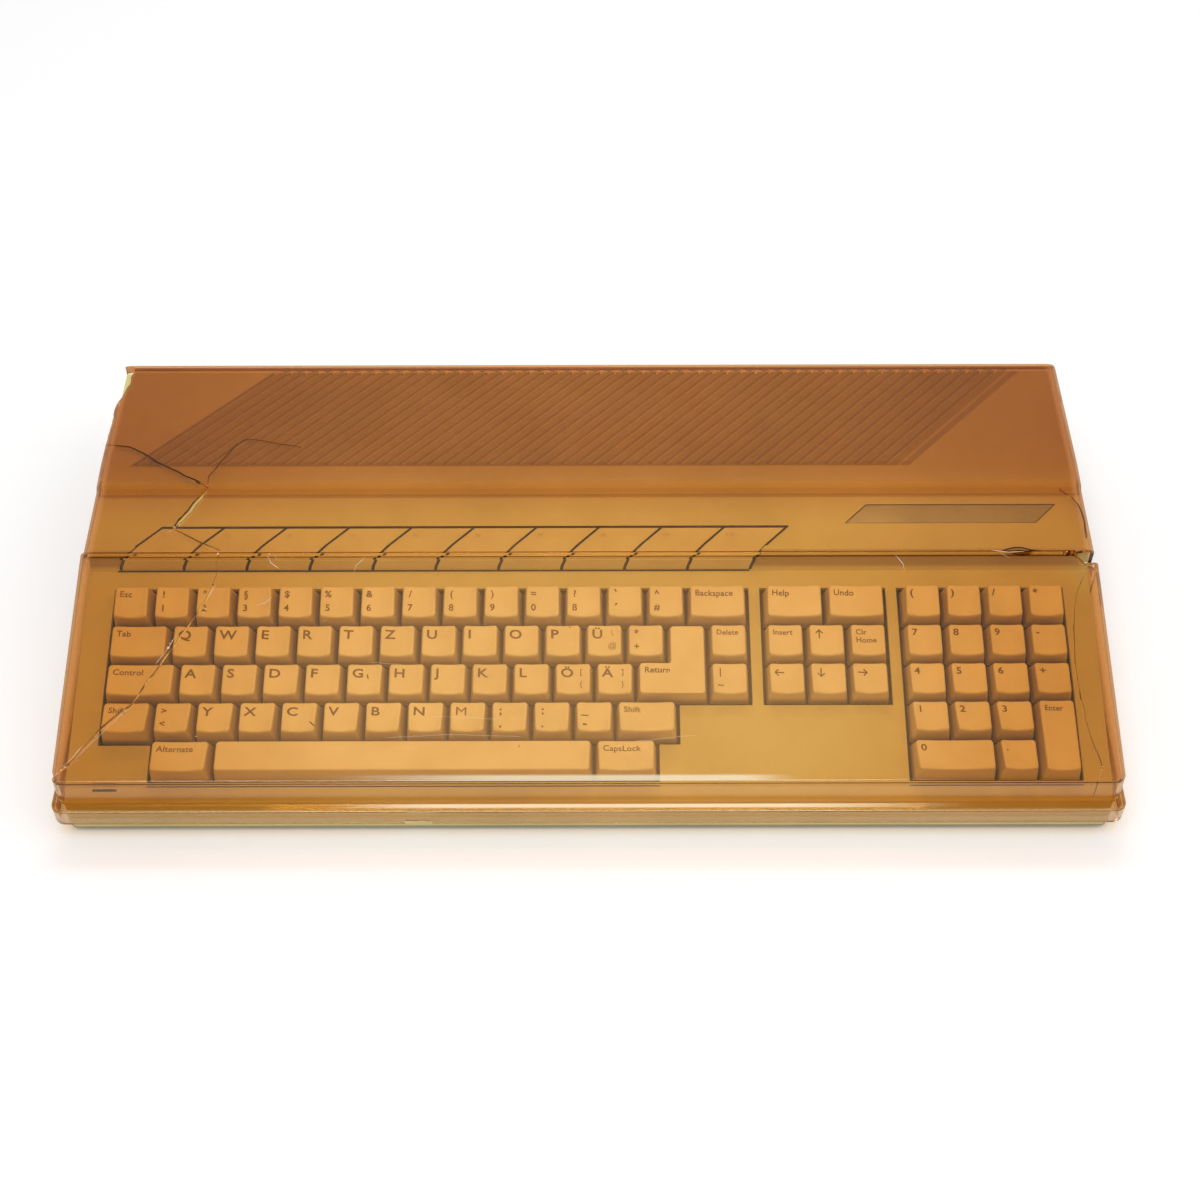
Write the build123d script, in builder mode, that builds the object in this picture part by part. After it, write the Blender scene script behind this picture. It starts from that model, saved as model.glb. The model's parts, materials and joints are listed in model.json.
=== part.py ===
from build123d import *
from math import atan, cos, radians, sin, tan
import os

# Wedge-shaped home computer with a full keyboard, under a close-fitting clear plastic dust cover.
# Frame: millimetres, +X to the user's right, +Y to the rear, +Z up, Z = 0 where the feet rest.

# ---------------------------------------------------------------- keyboard field
UNIT = 19.05                            # key pitch
CURSOR_U, KEYPAD_U, KEYPAD_COLUMNS = 15.87, 19.24, 4   # left ends of the two smaller blocks, in key units
FIELD_FRONT_S = 8.6                     # front edge of the last row, up the deck's slope
ROW_COUNT = 5
DECK_BEHIND = 10.1                      # deck left behind the number row
ROW_HEIGHT = (9.5, 7.5, 7.2, 8.4, 9.5)  # key tops above the deck, rear row first
ROW_TILT = (3.3, -1.7, -5.5, -12.3, -12.3)
KEY_GAP = 0.85                          # between neighbouring key skirts
TOP_INSET = 1.8                         # top face narrower than the cell, each side
TOP_DEPTH = 14.0
CAP_SPARE = 4.0                         # height that the tilted cut takes off, at least
SKIRT_N = -2.5                          # lower edge of the key skirts, below the deck
KEY_WALL, KEY_CEILING = 1.2, 2.4        # side walls, and the thickness under the dished top
STEM, GUIDE_GAP, GUIDE_WALL = 5.0, 0.3, 1.2
GUIDE_TOP_N, PLATE_TOP_N, PLATE_T = 0.5, -7.0, 1.8
STEM_ENGAGED = 1.2                      # length of stem inside the plate
BOARD_TOP_N, BOARD_T, SHEET_T = -12.4, 1.6, 0.5
WELL_MARGIN = 1.0

# ---------------------------------------------------------------- case
SIDE_MARGIN = 13.64                     # case beside the keyboard field
KEYBOARD_W = (KEYPAD_U + KEYPAD_COLUMNS) * UNIT
CASE_W = KEYBOARD_W + 2 * SIDE_MARGIN
CASE_CORNER = 4.0
WALL = 2.5
FLOOR_Z, FLOOR_T = 2.5, 2.0
PARTING_Z = 11.5
DECK_ANGLE = 15.2                       # slope of the keyboard deck
COS, SIN = cos(radians(DECK_ANGLE)), sin(radians(DECK_ANGLE))
# lengths from front to rear
FRONT_LEAN, RIM_LEAN, RIM_DEPTH = 0.8, 1.6, 7.0
DECK_START, DECK_START_Z, RIM_Z = 2.8, 18.9, 20.0
NOSE_RUN, NOSE_RISE = 6.0, 8.2          # rounded rise behind the deck, under the function keys
BAND_DEPTH, BAND_RISE = 36.0, 1.0       # level band that carries the function keys
STEP_RUN, STEP_RISE = 1.6, 1.6
RAMP_RUN, RAMP_RISE = 13.6, 1.0
HUMP_DEPTH, HUMP_FALL, REAR_BREAK = 70.0, 1.4, 2.0
DECK_LENGTH = (FIELD_FRONT_S + ROW_COUNT * UNIT + DECK_BEHIND) * COS
CASE_D = DECK_START + DECK_LENGTH + NOSE_RUN + BAND_DEPTH + STEP_RUN + RAMP_RUN + HUMP_DEPTH
FRONT_Y, REAR_Y = -CASE_D / 2, CASE_D / 2
LEFT_X, RIGHT_X = -CASE_W / 2, CASE_W / 2

DECK_FRONT = (FRONT_Y + DECK_START, DECK_START_Z)      # deck plane, front end (Y, Z)
DECK_REAR_Y = DECK_FRONT[0] + DECK_LENGTH
DECK_REAR_Z = DECK_START_Z + DECK_LENGTH * tan(radians(DECK_ANGLE))
BAND_FRONT = (DECK_REAR_Y + NOSE_RUN, DECK_REAR_Z + NOSE_RISE)
BAND_REAR = (BAND_FRONT[0] + BAND_DEPTH, BAND_FRONT[1] + BAND_RISE)
STEP_TOP = (BAND_REAR[0] + STEP_RUN, BAND_REAR[1] + STEP_RISE)
HUMP_FRONT = (STEP_TOP[0] + RAMP_RUN, STEP_TOP[1] + RAMP_RISE)
HUMP_REAR = (REAR_Y, HUMP_FRONT[1] - HUMP_FALL)


def deck_z(y):
    return DECK_FRONT[1] + (y - DECK_FRONT[0]) * tan(radians(DECK_ANGLE))


# Plane lying on the deck: local x = X, local y = distance up the slope, local z = out of the deck.
DECK = Plane(origin=(0, *DECK_FRONT), x_dir=(1, 0, 0), z_dir=(0, -SIN, COS))
# The same frame seen from the side (slope distance, height) and from the front (X, height).
DECK_SIDE = Plane(origin=DECK.origin, x_dir=(0, COS, SIN), z_dir=(1, 0, 0))
DECK_FACE = Plane(origin=DECK.origin, x_dir=(1, 0, 0), z_dir=(0, -COS, -SIN))

# ---------------------------------------------------------------- function keys
FKEY_COUNT, FKEY_PITCH, FKEY_GAP = 10, 29.65, 1.1
FKEY_REAR = (LEFT_X + 32.6, BAND_FRONT[0] + 13.9)      # rear left corner of the opening (X, Y)
FKEY_FRONT_Y = DECK_REAR_Y - 0.2
SLANT = 0.93                            # sideways run of the slanted features per mm of depth
FKEY_STEM_Y = BAND_FRONT[0] + 6.2
FKEY_GUIDE_TOP_Z, FKEY_STEM_END_Z = BAND_FRONT[1] - 7.0, deck_z(FKEY_STEM_Y) - 8.3

# ---------------------------------------------------------------- ribbed panel
RIB_PITCH, GROOVE_W, GROOVE_DEPTH, GROOVE_TAPER = 7.15, 3.2, 1.7, 34.0
VENT_LEFT, VENT_RIGHT, VENT_FRONT = 13.0, 18.0, 1.0    # plain margins round the ribs
VENT_FRONT_X, VENT_FRONT_Y = LEFT_X + VENT_LEFT, HUMP_FRONT[0] + VENT_FRONT
VENT_W = CASE_W - VENT_LEFT - VENT_RIGHT - GROOVE_W - SLANT * (REAR_Y - VENT_FRONT_Y)
RIB_COUNT = int(VENT_W / RIB_PITCH) + 1

# ---------------------------------------------------------------- dust cover
COVER_T, COVER_GAP = 1.8, 0.5
COVER_CORNER = 5.0
SKIRT_GAP_X, SKIRT_GAP_Y = 2.9, 2.4     # between the case and the inside of the skirt
COVER_HALF_W = CASE_W / 2 + COVER_GAP + COVER_T
SKIRT_HALF_W, SKIRT_Y = CASE_W / 2 + SKIRT_GAP_X + COVER_T, CASE_D / 2 + SKIRT_GAP_Y + COVER_T
LEDGE_Z, SKIRT_FOOT_Z = 20.9, 11.6
CABLE_CUT_HALF_W, CABLE_CUT_Z = CASE_W / 2 - 9.0, 40.0


def unit_x(u):
    return u * UNIT - KEYBOARD_W / 2


def row_s(row):
    return FIELD_FRONT_S + (ROW_COUNT - 0.5 - row) * UNIT


def slope_plane(s, n, tilt):
    """Plane at slope distance s and height n over the deck, rear edge turned up by tilt."""
    origin = DECK.from_local_coords(Vector(0, s, n))
    a = radians(DECK_ANGLE + tilt)
    return Plane(origin=origin, x_dir=(1, 0, 0), z_dir=(0, -sin(a), cos(a)))


def shrink(rect, d):
    """Rectangle (x0, x1, s0, s1) with each side moved inwards by d."""
    x0, x1, s0, s1 = rect
    return x0 + d, x1 - d, s0 + d, s1 - d


def tapered_block(base, top, top_n, cut_plane):
    """Block on the deck that narrows from base to top rectangle, cut off by a tilted plane."""
    x0, x1, s0, s1 = base
    tx0, tx1, ts0, ts1 = top
    with BuildPart() as block:
        with BuildSketch(DECK_SIDE.offset(x0)):
            Polygon((s0, SKIRT_N), (s1, SKIRT_N), (ts1, top_n), (ts0, top_n), align=None)
        extrude(amount=x1 - x0)
        with BuildSketch(DECK_FACE.offset(-s1)):
            Polygon((x0, SKIRT_N), (x1, SKIRT_N), (tx1, top_n), (tx0, top_n), align=None)
        extrude(amount=s1 - s0, mode=Mode.INTERSECT)
        split(bisect_by=cut_plane, keep=Keep.BOTTOM)
    return block.part


def make_cap(blocks, top_at, stems):
    """Hollow tapered key cap: (base, top) rectangles, (s, n, tilt) of the top, stem centres (x, s)."""
    s, n, tilt = top_at
    top_plane = slope_plane(s, n, tilt)
    ceiling_plane = top_plane.offset(-KEY_CEILING)
    bodies = [tapered_block(base, top, n + CAP_SPARE, top_plane) for base, top in blocks]
    hollows = [tapered_block(shrink(base, KEY_WALL), shrink(top, KEY_WALL), n + CAP_SPARE, ceiling_plane)
               for base, top in blocks]
    with BuildPart() as cap:
        add(bodies)
        add(hollows, mode=Mode.SUBTRACT)
        with BuildSketch(DECK.offset(STEM_END_N)):
            with Locations(*stems):
                Rectangle(STEM, STEM)
        extrude(amount=n - KEY_CEILING / 2 - STEM_END_N)
    return cap.part


def box_outline(x0, x1, y0, y1):
    return [(x0, y0), (x1, y0), (x1, y1), (x0, y1)]


def rect_key(u0, u1, row, last_row=None, stems=None):
    """Key covering u0..u1 of a row, or of two rows when last_row is given."""
    last_row = row if last_row is None else last_row
    x0, x1 = unit_x(u0), unit_x(u1)
    s0, s1 = row_s(last_row) - UNIT / 2, row_s(row) + UNIT / 2
    sc = (s0 + s1) / 2
    if last_row == row:
        n, tilt = ROW_HEIGHT[row], ROW_TILT[row]
    else:
        n = (ROW_HEIGHT[row] + ROW_HEIGHT[last_row]) / 2
        tilt = -3.5
    g, half = KEY_GAP / 2, (s1 - s0 - UNIT + TOP_DEPTH) / 2
    base = (x0 + g, x1 - g, s0 + g, s1 - g)
    top = (x0 + TOP_INSET, x1 - TOP_INSET, sc - half, sc + half)
    if stems is None:
        stems = [((x0 + x1) / 2, sc)]
    return make_cap([(base, top)], (sc, n, tilt), stems)


def run_keys(first_u, count, row):
    return [rect_key(first_u + i, first_u + i + 1, row) for i in range(count)]


def return_rects(inset_x, inset_s):
    """The two overlapping rectangles of the return key: tall right part, wide lower part."""
    right, low = unit_x(14.5) - inset_x, row_s(2) - UNIT / 2 + inset_s
    return [(unit_x(u) + inset_x, right, low, row_s(row) + UNIT / 2 - inset_s)
            for u, row in ((13.5, 1), (12.75, 2))]


STEM_END_N = PLATE_TOP_N - STEM_ENGAGED
GUIDE_HOLE = STEM + 2 * GUIDE_GAP
GUIDE_OUTER = GUIDE_HOLE + 2 * GUIDE_WALL
SPACE_STEMS = [unit_x(7.25 + d) for d in (-3.15, 0.0, 3.15)]
RETURN_S = row_s(2) + UNIT / 2
RETURN_STEM = (unit_x(14.0), RETURN_S)
RETURN_N, RETURN_TILT = 7.35, -3.0

# ================================================================ case, upper half
def case_profile(low_z):
    """Side profile of the case (Y, Z), with its lower edge at the given height."""
    lean = RIM_LEAN * (PARTING_Z - low_z) / (RIM_Z - PARTING_Z)
    rim_y = FRONT_Y + FRONT_LEAN + RIM_LEAN
    break_y = DECK_FRONT[0] + RIM_DEPTH - 0.4
    return [
        (FRONT_Y + FRONT_LEAN - lean, low_z), (rim_y, RIM_Z), (break_y, deck_z(break_y)),
        (DECK_REAR_Y, DECK_REAR_Z), BAND_FRONT, BAND_REAR, STEP_TOP, HUMP_FRONT,
        (REAR_Y - REAR_BREAK, HUMP_REAR[1]), (REAR_Y, HUMP_REAR[1] - REAR_BREAK), (REAR_Y, low_z),
    ]


x_right, x_top = unit_x(15.5) + WELL_MARGIN, row_s(0) + UNIT / 2 + WELL_MARGIN
x_left = unit_x(0) - WELL_MARGIN
front3, front4, front5 = (row_s(r) - UNIT / 2 - WELL_MARGIN for r in (2, 3, 4))
main_well = [
    (x_left, front4), (unit_x(1.25) - WELL_MARGIN, front4), (unit_x(1.25) - WELL_MARGIN, front5),
    (unit_x(13.25) + WELL_MARGIN, front5), (unit_x(13.25) + WELL_MARGIN, front4),
    (unit_x(13.75) + WELL_MARGIN, front4), (unit_x(13.75) + WELL_MARGIN, front3),
    (x_right, front3), (x_right, x_top), (x_left, x_top),
]
cursor_well = box_outline(unit_x(CURSOR_U) - WELL_MARGIN, unit_x(CURSOR_U + 3) + WELL_MARGIN, front3, x_top)
keypad_well = box_outline(unit_x(KEYPAD_U) - WELL_MARGIN, unit_x(KEYPAD_U + KEYPAD_COLUMNS) + WELL_MARGIN,
                          front5, x_top)


def slanted(x_rear, y_rear, width, y_front):
    """Parallelogram in plan: rear left corner, width in X, front edge."""
    x_front = x_rear - SLANT * (y_rear - y_front)
    return [(x_front, y_front), (x_front + width, y_front), (x_rear + width, y_rear), (x_rear, y_rear)]


BADGE_X, BADGE_Y, BADGE_DEPTH = RIGHT_X - 102.4, BAND_REAR[0] - 8.5, 11.6   # rear left corner, depth
BADGE_W, BADGE_T, BADGE_GAP = 90.5, 0.6, 0.3
LED_X, LED_Y, LED_W, LED_D = LEFT_X + 17.8, FRONT_Y + 8.8, 10.8, 1.3
HUMP = Plane(origin=(0, *HUMP_FRONT), x_dir=(1, 0, 0), z_dir=(0, HUMP_FALL, HUMP_DEPTH))
BAND = Plane(origin=(0, *BAND_FRONT), x_dir=(1, 0, 0),
             z_dir=(0, BAND_FRONT[1] - BAND_REAR[1], BAND_REAR[0] - BAND_FRONT[0]))

# rear connectors: name -> (distance from the right end, body width, tall or low body)
TALL, LOW = 19.0, 14.0                  # body heights over the main board
PORT_GAP = 0.3                          # round a connector, in its opening
REAR_PORTS = {
    "reset": (29.0, 9.0, LOW), "power_switch": (51.0, 20.0, TALL), "power_socket": (81.0, 20.0, TALL),
    "midi_out": (109.0, 20.0, TALL), "midi_in": (134.0, 20.0, TALL), "monitor": (163.0, 20.0, TALL),
    "printer": (211.0, 53.0, LOW), "modem": (273.0, 53.0, LOW), "floppy": (323.0, 22.0, TALL),
    "hard_disk": (363.0, 41.0, LOW),
}
BOARD_Z, BOARD_THICK = 10.0, 1.6
BOARD_TOP = BOARD_Z + BOARD_THICK
CARTRIDGE_Y, CARTRIDGE_W, CARTRIDGE_H = REAR_Y - 90.0, 65.0, 10.0
CONTROLLER_Y, CONTROLLER_W = (REAR_Y - 68.0, REAR_Y - 30.0), 30.8
SCREW_IN = 7.0                          # from the case's edge to its outer screws
FRONT_SCREWS = [(x, FRONT_Y + SCREW_IN) for x in (LEFT_X + 45.0, 0.0, RIGHT_X - 45.0)]
REAR_SCREWS = [(x, REAR_Y - SCREW_IN) for x in (LEFT_X + SCREW_IN, LEFT_X + 60.0, RIGHT_X - SCREW_IN)]
BOSS_SIDES = 6                          # small bosses, screws and their holes have few sides
SCREW_HEAD_R, SCREW_R, SCREW_GAP, BOSS_WALL = 2.4, 1.25, 0.2, 1.4
SCREW_SEAT_Z, SCREW_HEAD_H, SCREW_LENGTH = 5.3, 2.1, 11.0
CURSOR_X = unit_x(CURSOR_U + 1.5)
FRAME_X, FRAME_S0 = CASE_W / 2 - 4.0, FIELD_FRONT_S - 1.6
FRAME_S1 = (FKEY_STEM_Y - DECK_FRONT[0]) / COS + 7.4
SEAT_POSTS = [(x, row_s(r)) for x in (-FRAME_X + 3.4, FRAME_X - 3.4) for r in (0, 4)] + [(CURSOR_X, row_s(4))]
SEAT_POSTS += [(unit_x(u), row_s(1)) for u in ((15.5 + CURSOR_U) / 2, (CURSOR_U + 3 + KEYPAD_U) / 2)]

with BuildPart() as top_case:
    with BuildSketch(Plane.YZ.offset(LEFT_X)):
        Polygon(*case_profile(PARTING_Z), align=None)
    extrude(amount=CASE_W)
    with BuildSketch():
        RectangleRounded(CASE_W, CASE_D, CASE_CORNER)
    extrude(amount=HUMP_FRONT[1] + 10, mode=Mode.INTERSECT)
    with BuildSketch(Plane.YZ.offset(LEFT_X + WALL)):
        Polygon(*case_profile(PARTING_Z - WALL - 1), align=None)
        offset(amount=-WALL, kind=Kind.INTERSECTION, mode=Mode.REPLACE)
    extrude(amount=CASE_W - 2 * WALL, mode=Mode.SUBTRACT)
    # key wells, square to the deck
    for outline in (main_well, cursor_well, keypad_well):
        with BuildSketch(DECK.offset(4)):
            Polygon(*outline, align=None)
        extrude(amount=-12, mode=Mode.SUBTRACT)
    # slanted opening for the function keys
    with BuildSketch(Plane.XY.offset(70)):
        Polygon(*slanted(*FKEY_REAR, FKEY_COUNT * FKEY_PITCH, FKEY_FRONT_Y), align=None)
    extrude(amount=-30, mode=Mode.SUBTRACT)
    # rounded diagonal ribs: tapered grooves between them, running out over the rear edge
    with BuildSketch(HUMP):
        for i in range(RIB_COUNT):
            run = CASE_D / 2 + 6 - VENT_FRONT_Y
            x = VENT_FRONT_X + i * RIB_PITCH + SLANT * run
            y0 = VENT_FRONT_Y - HUMP_FRONT[0]
            Polygon(*slanted(x, y0 + run, GROOVE_W, y0), align=None)
    extrude(amount=-GROOVE_DEPTH, taper=GROOVE_TAPER, mode=Mode.SUBTRACT)
    # badge recess, lamp slot
    with BuildSketch(BAND):
        badge_y = BADGE_Y - BAND_FRONT[0]
        Polygon(*slanted(BADGE_X, badge_y, BADGE_W, badge_y - BADGE_DEPTH), align=None)
    extrude(amount=-BADGE_T, mode=Mode.SUBTRACT)
    with BuildSketch(Plane.XY.offset(deck_z(LED_Y) + 5)):
        with Locations((LED_X, LED_Y)):
            Rectangle(LED_W, LED_D)
    extrude(amount=-12, mode=Mode.SUBTRACT)
    # screw bosses
    with BuildSketch(Plane.XY.offset(PARTING_Z)):
        with Locations(*FRONT_SCREWS):
            RegularPolygon(SCREW_R + BOSS_WALL, BOSS_SIDES)
        with Locations(*FRONT_SCREWS):
            RegularPolygon(SCREW_R + SCREW_GAP, BOSS_SIDES, mode=Mode.SUBTRACT)
    extrude(amount=deck_z(FRONT_Y + SCREW_IN) - WALL / 2 - PARTING_Z)
    with BuildSketch(Plane.XY.offset(PARTING_Z)):
        with Locations(*REAR_SCREWS):
            RegularPolygon(SCREW_R + 2 * BOSS_WALL, BOSS_SIDES)
        with Locations(*REAR_SCREWS):
            RegularPolygon(SCREW_R + SCREW_GAP, BOSS_SIDES, mode=Mode.SUBTRACT)
    extrude(amount=HUMP_REAR[1] - WALL / 2 - PARTING_Z)
    # seats that the keyboard plate bears on
    with BuildSketch(DECK.offset(PLATE_TOP_N)):
        with Locations(*SEAT_POSTS):
            Rectangle(4.4, 8.0)
    extrude(amount=-PLATE_TOP_N - WALL / 2)
    # openings in the rear and side walls
    for from_right, width, height in REAR_PORTS.values():
        with BuildSketch(Plane.XY.offset(PARTING_Z - 1)):
            with Locations((RIGHT_X - from_right, REAR_Y - WALL / 2)):
                Rectangle(width + 2 * PORT_GAP, WALL + 2)
        extrude(amount=BOARD_TOP + height + PORT_GAP - PARTING_Z + 1, mode=Mode.SUBTRACT)
    with BuildSketch(Plane.XY.offset(PARTING_Z - 1)):
        with Locations((LEFT_X + WALL / 2, CARTRIDGE_Y)):
            Rectangle(WALL + 2, CARTRIDGE_W + 2 * PORT_GAP)
    extrude(amount=BOARD_TOP + CARTRIDGE_H + PORT_GAP - PARTING_Z + 1, mode=Mode.SUBTRACT)
    with BuildSketch(Plane.XY.offset(PARTING_Z - 1)):
        with Locations(*[(RIGHT_X - WALL / 2, y) for y in CONTROLLER_Y]):
            Rectangle(WALL + 2, CONTROLLER_W + 2 * PORT_GAP)
    extrude(amount=BOARD_TOP + LOW + PORT_GAP - PARTING_Z + 1, mode=Mode.SUBTRACT)
top_case.part.label = "Upper case"

# ================================================================ case, lower half
BOARD_EDGE, BOARD_Y0, BOARD_Y1 = 13.0, REAR_Y - 174.0, REAR_Y - 12.0
POST_X = (LEFT_X + 30.0, -60.0, 95.0, RIGHT_X - 30.0)
BOARD_POSTS = [(x, y) for x in POST_X for y in (BOARD_Y0 + 6.0, REAR_Y - 75.0)]
FEET = [(x, y) for x in (LEFT_X + 30.0, RIGHT_X - 30.0) for y in (FRONT_Y + 20.0, REAR_Y - 20.0)]
FOOT_R, FOOT_SIDES = 8.0, 24

with BuildPart() as bottom_case:
    with BuildSketch(Plane.XY.offset(FLOOR_Z)):
        RectangleRounded(CASE_W, CASE_D, CASE_CORNER)
    extrude(amount=PARTING_Z - FLOOR_Z)
    with BuildSketch(Plane.XY.offset(FLOOR_Z + FLOOR_T)):
        RectangleRounded(CASE_W - 2 * WALL, CASE_D - 2 * WALL, CASE_CORNER - WALL)
    extrude(amount=PARTING_Z, mode=Mode.SUBTRACT)
    with BuildSketch(Plane.XY.offset(FLOOR_Z + FLOOR_T)):
        with Locations(*FRONT_SCREWS, *REAR_SCREWS):
            RegularPolygon(SCREW_HEAD_R + BOSS_WALL, BOSS_SIDES)
    extrude(amount=PARTING_Z - FLOOR_Z - FLOOR_T)
    with BuildSketch(Plane.XY.offset(FLOOR_Z)):
        with Locations(*FRONT_SCREWS, *REAR_SCREWS):
            RegularPolygon(SCREW_R + SCREW_GAP, BOSS_SIDES)
    extrude(amount=PARTING_Z, mode=Mode.SUBTRACT)
    with BuildSketch(Plane.XY.offset(FLOOR_Z)):
        with Locations(*FRONT_SCREWS, *REAR_SCREWS):
            RegularPolygon(SCREW_HEAD_R + SCREW_GAP, BOSS_SIDES)
    extrude(amount=SCREW_SEAT_Z - FLOOR_Z, mode=Mode.SUBTRACT)
    with BuildSketch(Plane.XY.offset(FLOOR_Z + FLOOR_T)):
        with Locations(*BOARD_POSTS):
            Rectangle(6.0, 6.0)
    extrude(amount=BOARD_Z - FLOOR_Z - FLOOR_T)
    # intake slots under the main board
    with BuildSketch(Plane.XY.offset(FLOOR_Z)):
        for cx in (-CASE_W / 4, CASE_W / 4):
            with Locations((cx, REAR_Y - 115.0)):
                with GridLocations(12.0, 1.0, 6, 1):
                    Rectangle(3.0, 60.0)
    extrude(amount=FLOOR_T, mode=Mode.SUBTRACT)
bottom_case.part.label = "Lower case"

with BuildPart() as rubber_feet:
    with BuildSketch():
        with Locations(*FEET):
            RegularPolygon(FOOT_R, FOOT_SIDES)
    extrude(amount=FLOOR_Z)
rubber_feet.part.label = "Rubber feet"

with BuildPart() as case_screws:
    with BuildSketch(Plane.XY.offset(SCREW_SEAT_Z)):
        with Locations(*FRONT_SCREWS, *REAR_SCREWS):
            RegularPolygon(SCREW_HEAD_R, BOSS_SIDES)
    extrude(amount=-SCREW_HEAD_H)
    with BuildSketch(Plane.XY.offset(SCREW_SEAT_Z)):
        with Locations(*FRONT_SCREWS, *REAR_SCREWS):
            RegularPolygon(SCREW_R, BOSS_SIDES)
    extrude(amount=SCREW_LENGTH)
case_screws.part.label = "Case screws"

with BuildPart() as badge_plate:
    with BuildSketch(BAND.offset(-BADGE_T)):
        rear = badge_y - BADGE_GAP
        front = badge_y - BADGE_DEPTH + BADGE_GAP
        Polygon(*slanted(BADGE_X + BADGE_GAP, rear, BADGE_W - 2 * BADGE_GAP, front), align=None)
    extrude(amount=BADGE_T)
badge_plate.part.label = "Badge plate"

with BuildPart() as power_led:
    with BuildSketch(Plane.XY.offset(deck_z(LED_Y) + 0.2)):
        with Locations((LED_X, LED_Y)):
            Rectangle(LED_W - 0.2, LED_D - 0.1)
    extrude(amount=-7.6)
power_led.part.label = "Power lamp"

# ================================================================ keyboard
number_keys = run_keys(1, 13, 0)
upper_keys = run_keys(1.5, 12, 1) + [rect_key(14.5, 15.5, 1)]
home_keys = run_keys(1.75, 11, 2) + [rect_key(14.5, 15.5, 2)]
lower_keys = run_keys(1.25, 11, 3)
cursor_block = [rect_key(CURSOR_U, CURSOR_U + 1.5, 0), rect_key(CURSOR_U + 1.5, CURSOR_U + 3, 0)]
cursor_block += run_keys(CURSOR_U, 3, 1) + run_keys(CURSOR_U, 3, 2)
keypad_block = [key for row in range(4) for key in run_keys(KEYPAD_U, 3 if row == 3 else 4, row)]
keypad_block += [rect_key(KEYPAD_U, KEYPAD_U + 2, 4), rect_key(KEYPAD_U + 2, KEYPAD_U + 3, 4)]
keypad_block += [rect_key(KEYPAD_U + 3, KEYPAD_U + 4, 3, 4)]

return_bases = return_rects(KEY_GAP / 2, KEY_GAP / 2)
return_tops = return_rects(TOP_INSET, (UNIT - TOP_DEPTH) / 2)
return_cap = make_cap(list(zip(return_bases, return_tops)), (RETURN_S, RETURN_N, RETURN_TILT), [RETURN_STEM])

# single keys: name -> (left unit, right unit, row)
SINGLE_KEYS = {
    "escape_key": (0, 1, 0), "backspace_key": (14, 15.5, 0), "tab_key": (0, 1.5, 1),
    "control_key": (0, 1.75, 2), "left_shift_key": (0, 1.25, 3), "right_shift_key": (12.25, 13.75, 3),
    "alternate_key": (1.25, 2.75, 4), "caps_lock_key": (11.75, 13.25, 4),
}
caps = {name: [rect_key(*where)] for name, where in SINGLE_KEYS.items()}
caps["space_bar"] = [rect_key(2.75, 11.75, 4, stems=[(x, row_s(4)) for x in SPACE_STEMS])]
caps["return_key"] = [return_cap]
caps["number_row_keys"] = number_keys
caps["upper_letter_keys"] = upper_keys
caps["home_letter_keys"] = home_keys
caps["lower_letter_keys"] = lower_keys
caps["cursor_keys"] = cursor_block
caps["keypad_keys"] = keypad_block

# stem centres of every key, on the deck plane
stem_points = [(unit_x((a + b) / 2), row_s(r)) for a, b, r in SINGLE_KEYS.values()]
stem_points += [(x, row_s(4)) for x in SPACE_STEMS] + [RETURN_STEM]
KEY_RUNS = ((1, 13, 0), (1.5, 12, 1), (14.5, 1, 1), (1.75, 11, 2), (14.5, 1, 2), (1.25, 11, 3))
for first, count, row in KEY_RUNS:
    stem_points += [(unit_x(first + i + 0.5), row_s(row)) for i in range(count)]
stem_points += [(unit_x(CURSOR_U + u), row_s(0)) for u in (0.75, 2.25)]
stem_points += [(unit_x(CURSOR_U + u), row_s(r)) for r in (1, 2) for u in (0.5, 1.5, 2.5)]
stem_points += [(unit_x(KEYPAD_U + u + 0.5), row_s(r)) for r in range(3) for u in range(KEYPAD_COLUMNS)]
stem_points += [(unit_x(KEYPAD_U + u), row_s(3)) for u in (0.5, 1.5, 2.5)]
stem_points += [(unit_x(KEYPAD_U + 1), row_s(4)), (unit_x(KEYPAD_U + 2.5), row_s(4))]
stem_points += [(unit_x(KEYPAD_U + 3.5), row_s(4) + UNIT / 2)]
fkey_centres = [
    (FKEY_REAR[0] + (i + 0.5) * FKEY_PITCH - SLANT * (FKEY_REAR[1] - FKEY_STEM_Y), FKEY_STEM_Y)
    for i in range(FKEY_COUNT)
]

with BuildPart() as keyboard_frame:
    with BuildSketch(DECK.offset(PLATE_TOP_N - PLATE_T)):
        with Locations((0, (FRAME_S0 + FRAME_S1) / 2)):
            Rectangle(2 * FRAME_X, FRAME_S1 - FRAME_S0)
    extrude(amount=PLATE_T)
    with BuildSketch(DECK.offset(PLATE_TOP_N)):
        with Locations(*stem_points):
            Rectangle(GUIDE_OUTER, GUIDE_OUTER)
    extrude(amount=GUIDE_TOP_N - PLATE_TOP_N)
    with BuildSketch(Plane.XY.offset(FKEY_GUIDE_TOP_Z)):
        with Locations(*fkey_centres):
            Rectangle(GUIDE_OUTER, GUIDE_OUTER)
    extrude(amount=FKEY_STEM_END_Z - 0.4 - FKEY_GUIDE_TOP_Z)
    with BuildSketch(DECK.offset(PLATE_TOP_N - PLATE_T)):
        with Locations(*stem_points):
            Rectangle(GUIDE_HOLE, GUIDE_HOLE)
    extrude(amount=12, mode=Mode.SUBTRACT)
    with BuildSketch(Plane.XY.offset(FKEY_GUIDE_TOP_Z)):
        with Locations(*fkey_centres):
            Rectangle(GUIDE_HOLE, GUIDE_HOLE)
    extrude(amount=-12, mode=Mode.SUBTRACT)
keyboard_frame.part.label = "Keyboard frame with key guides"

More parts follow.
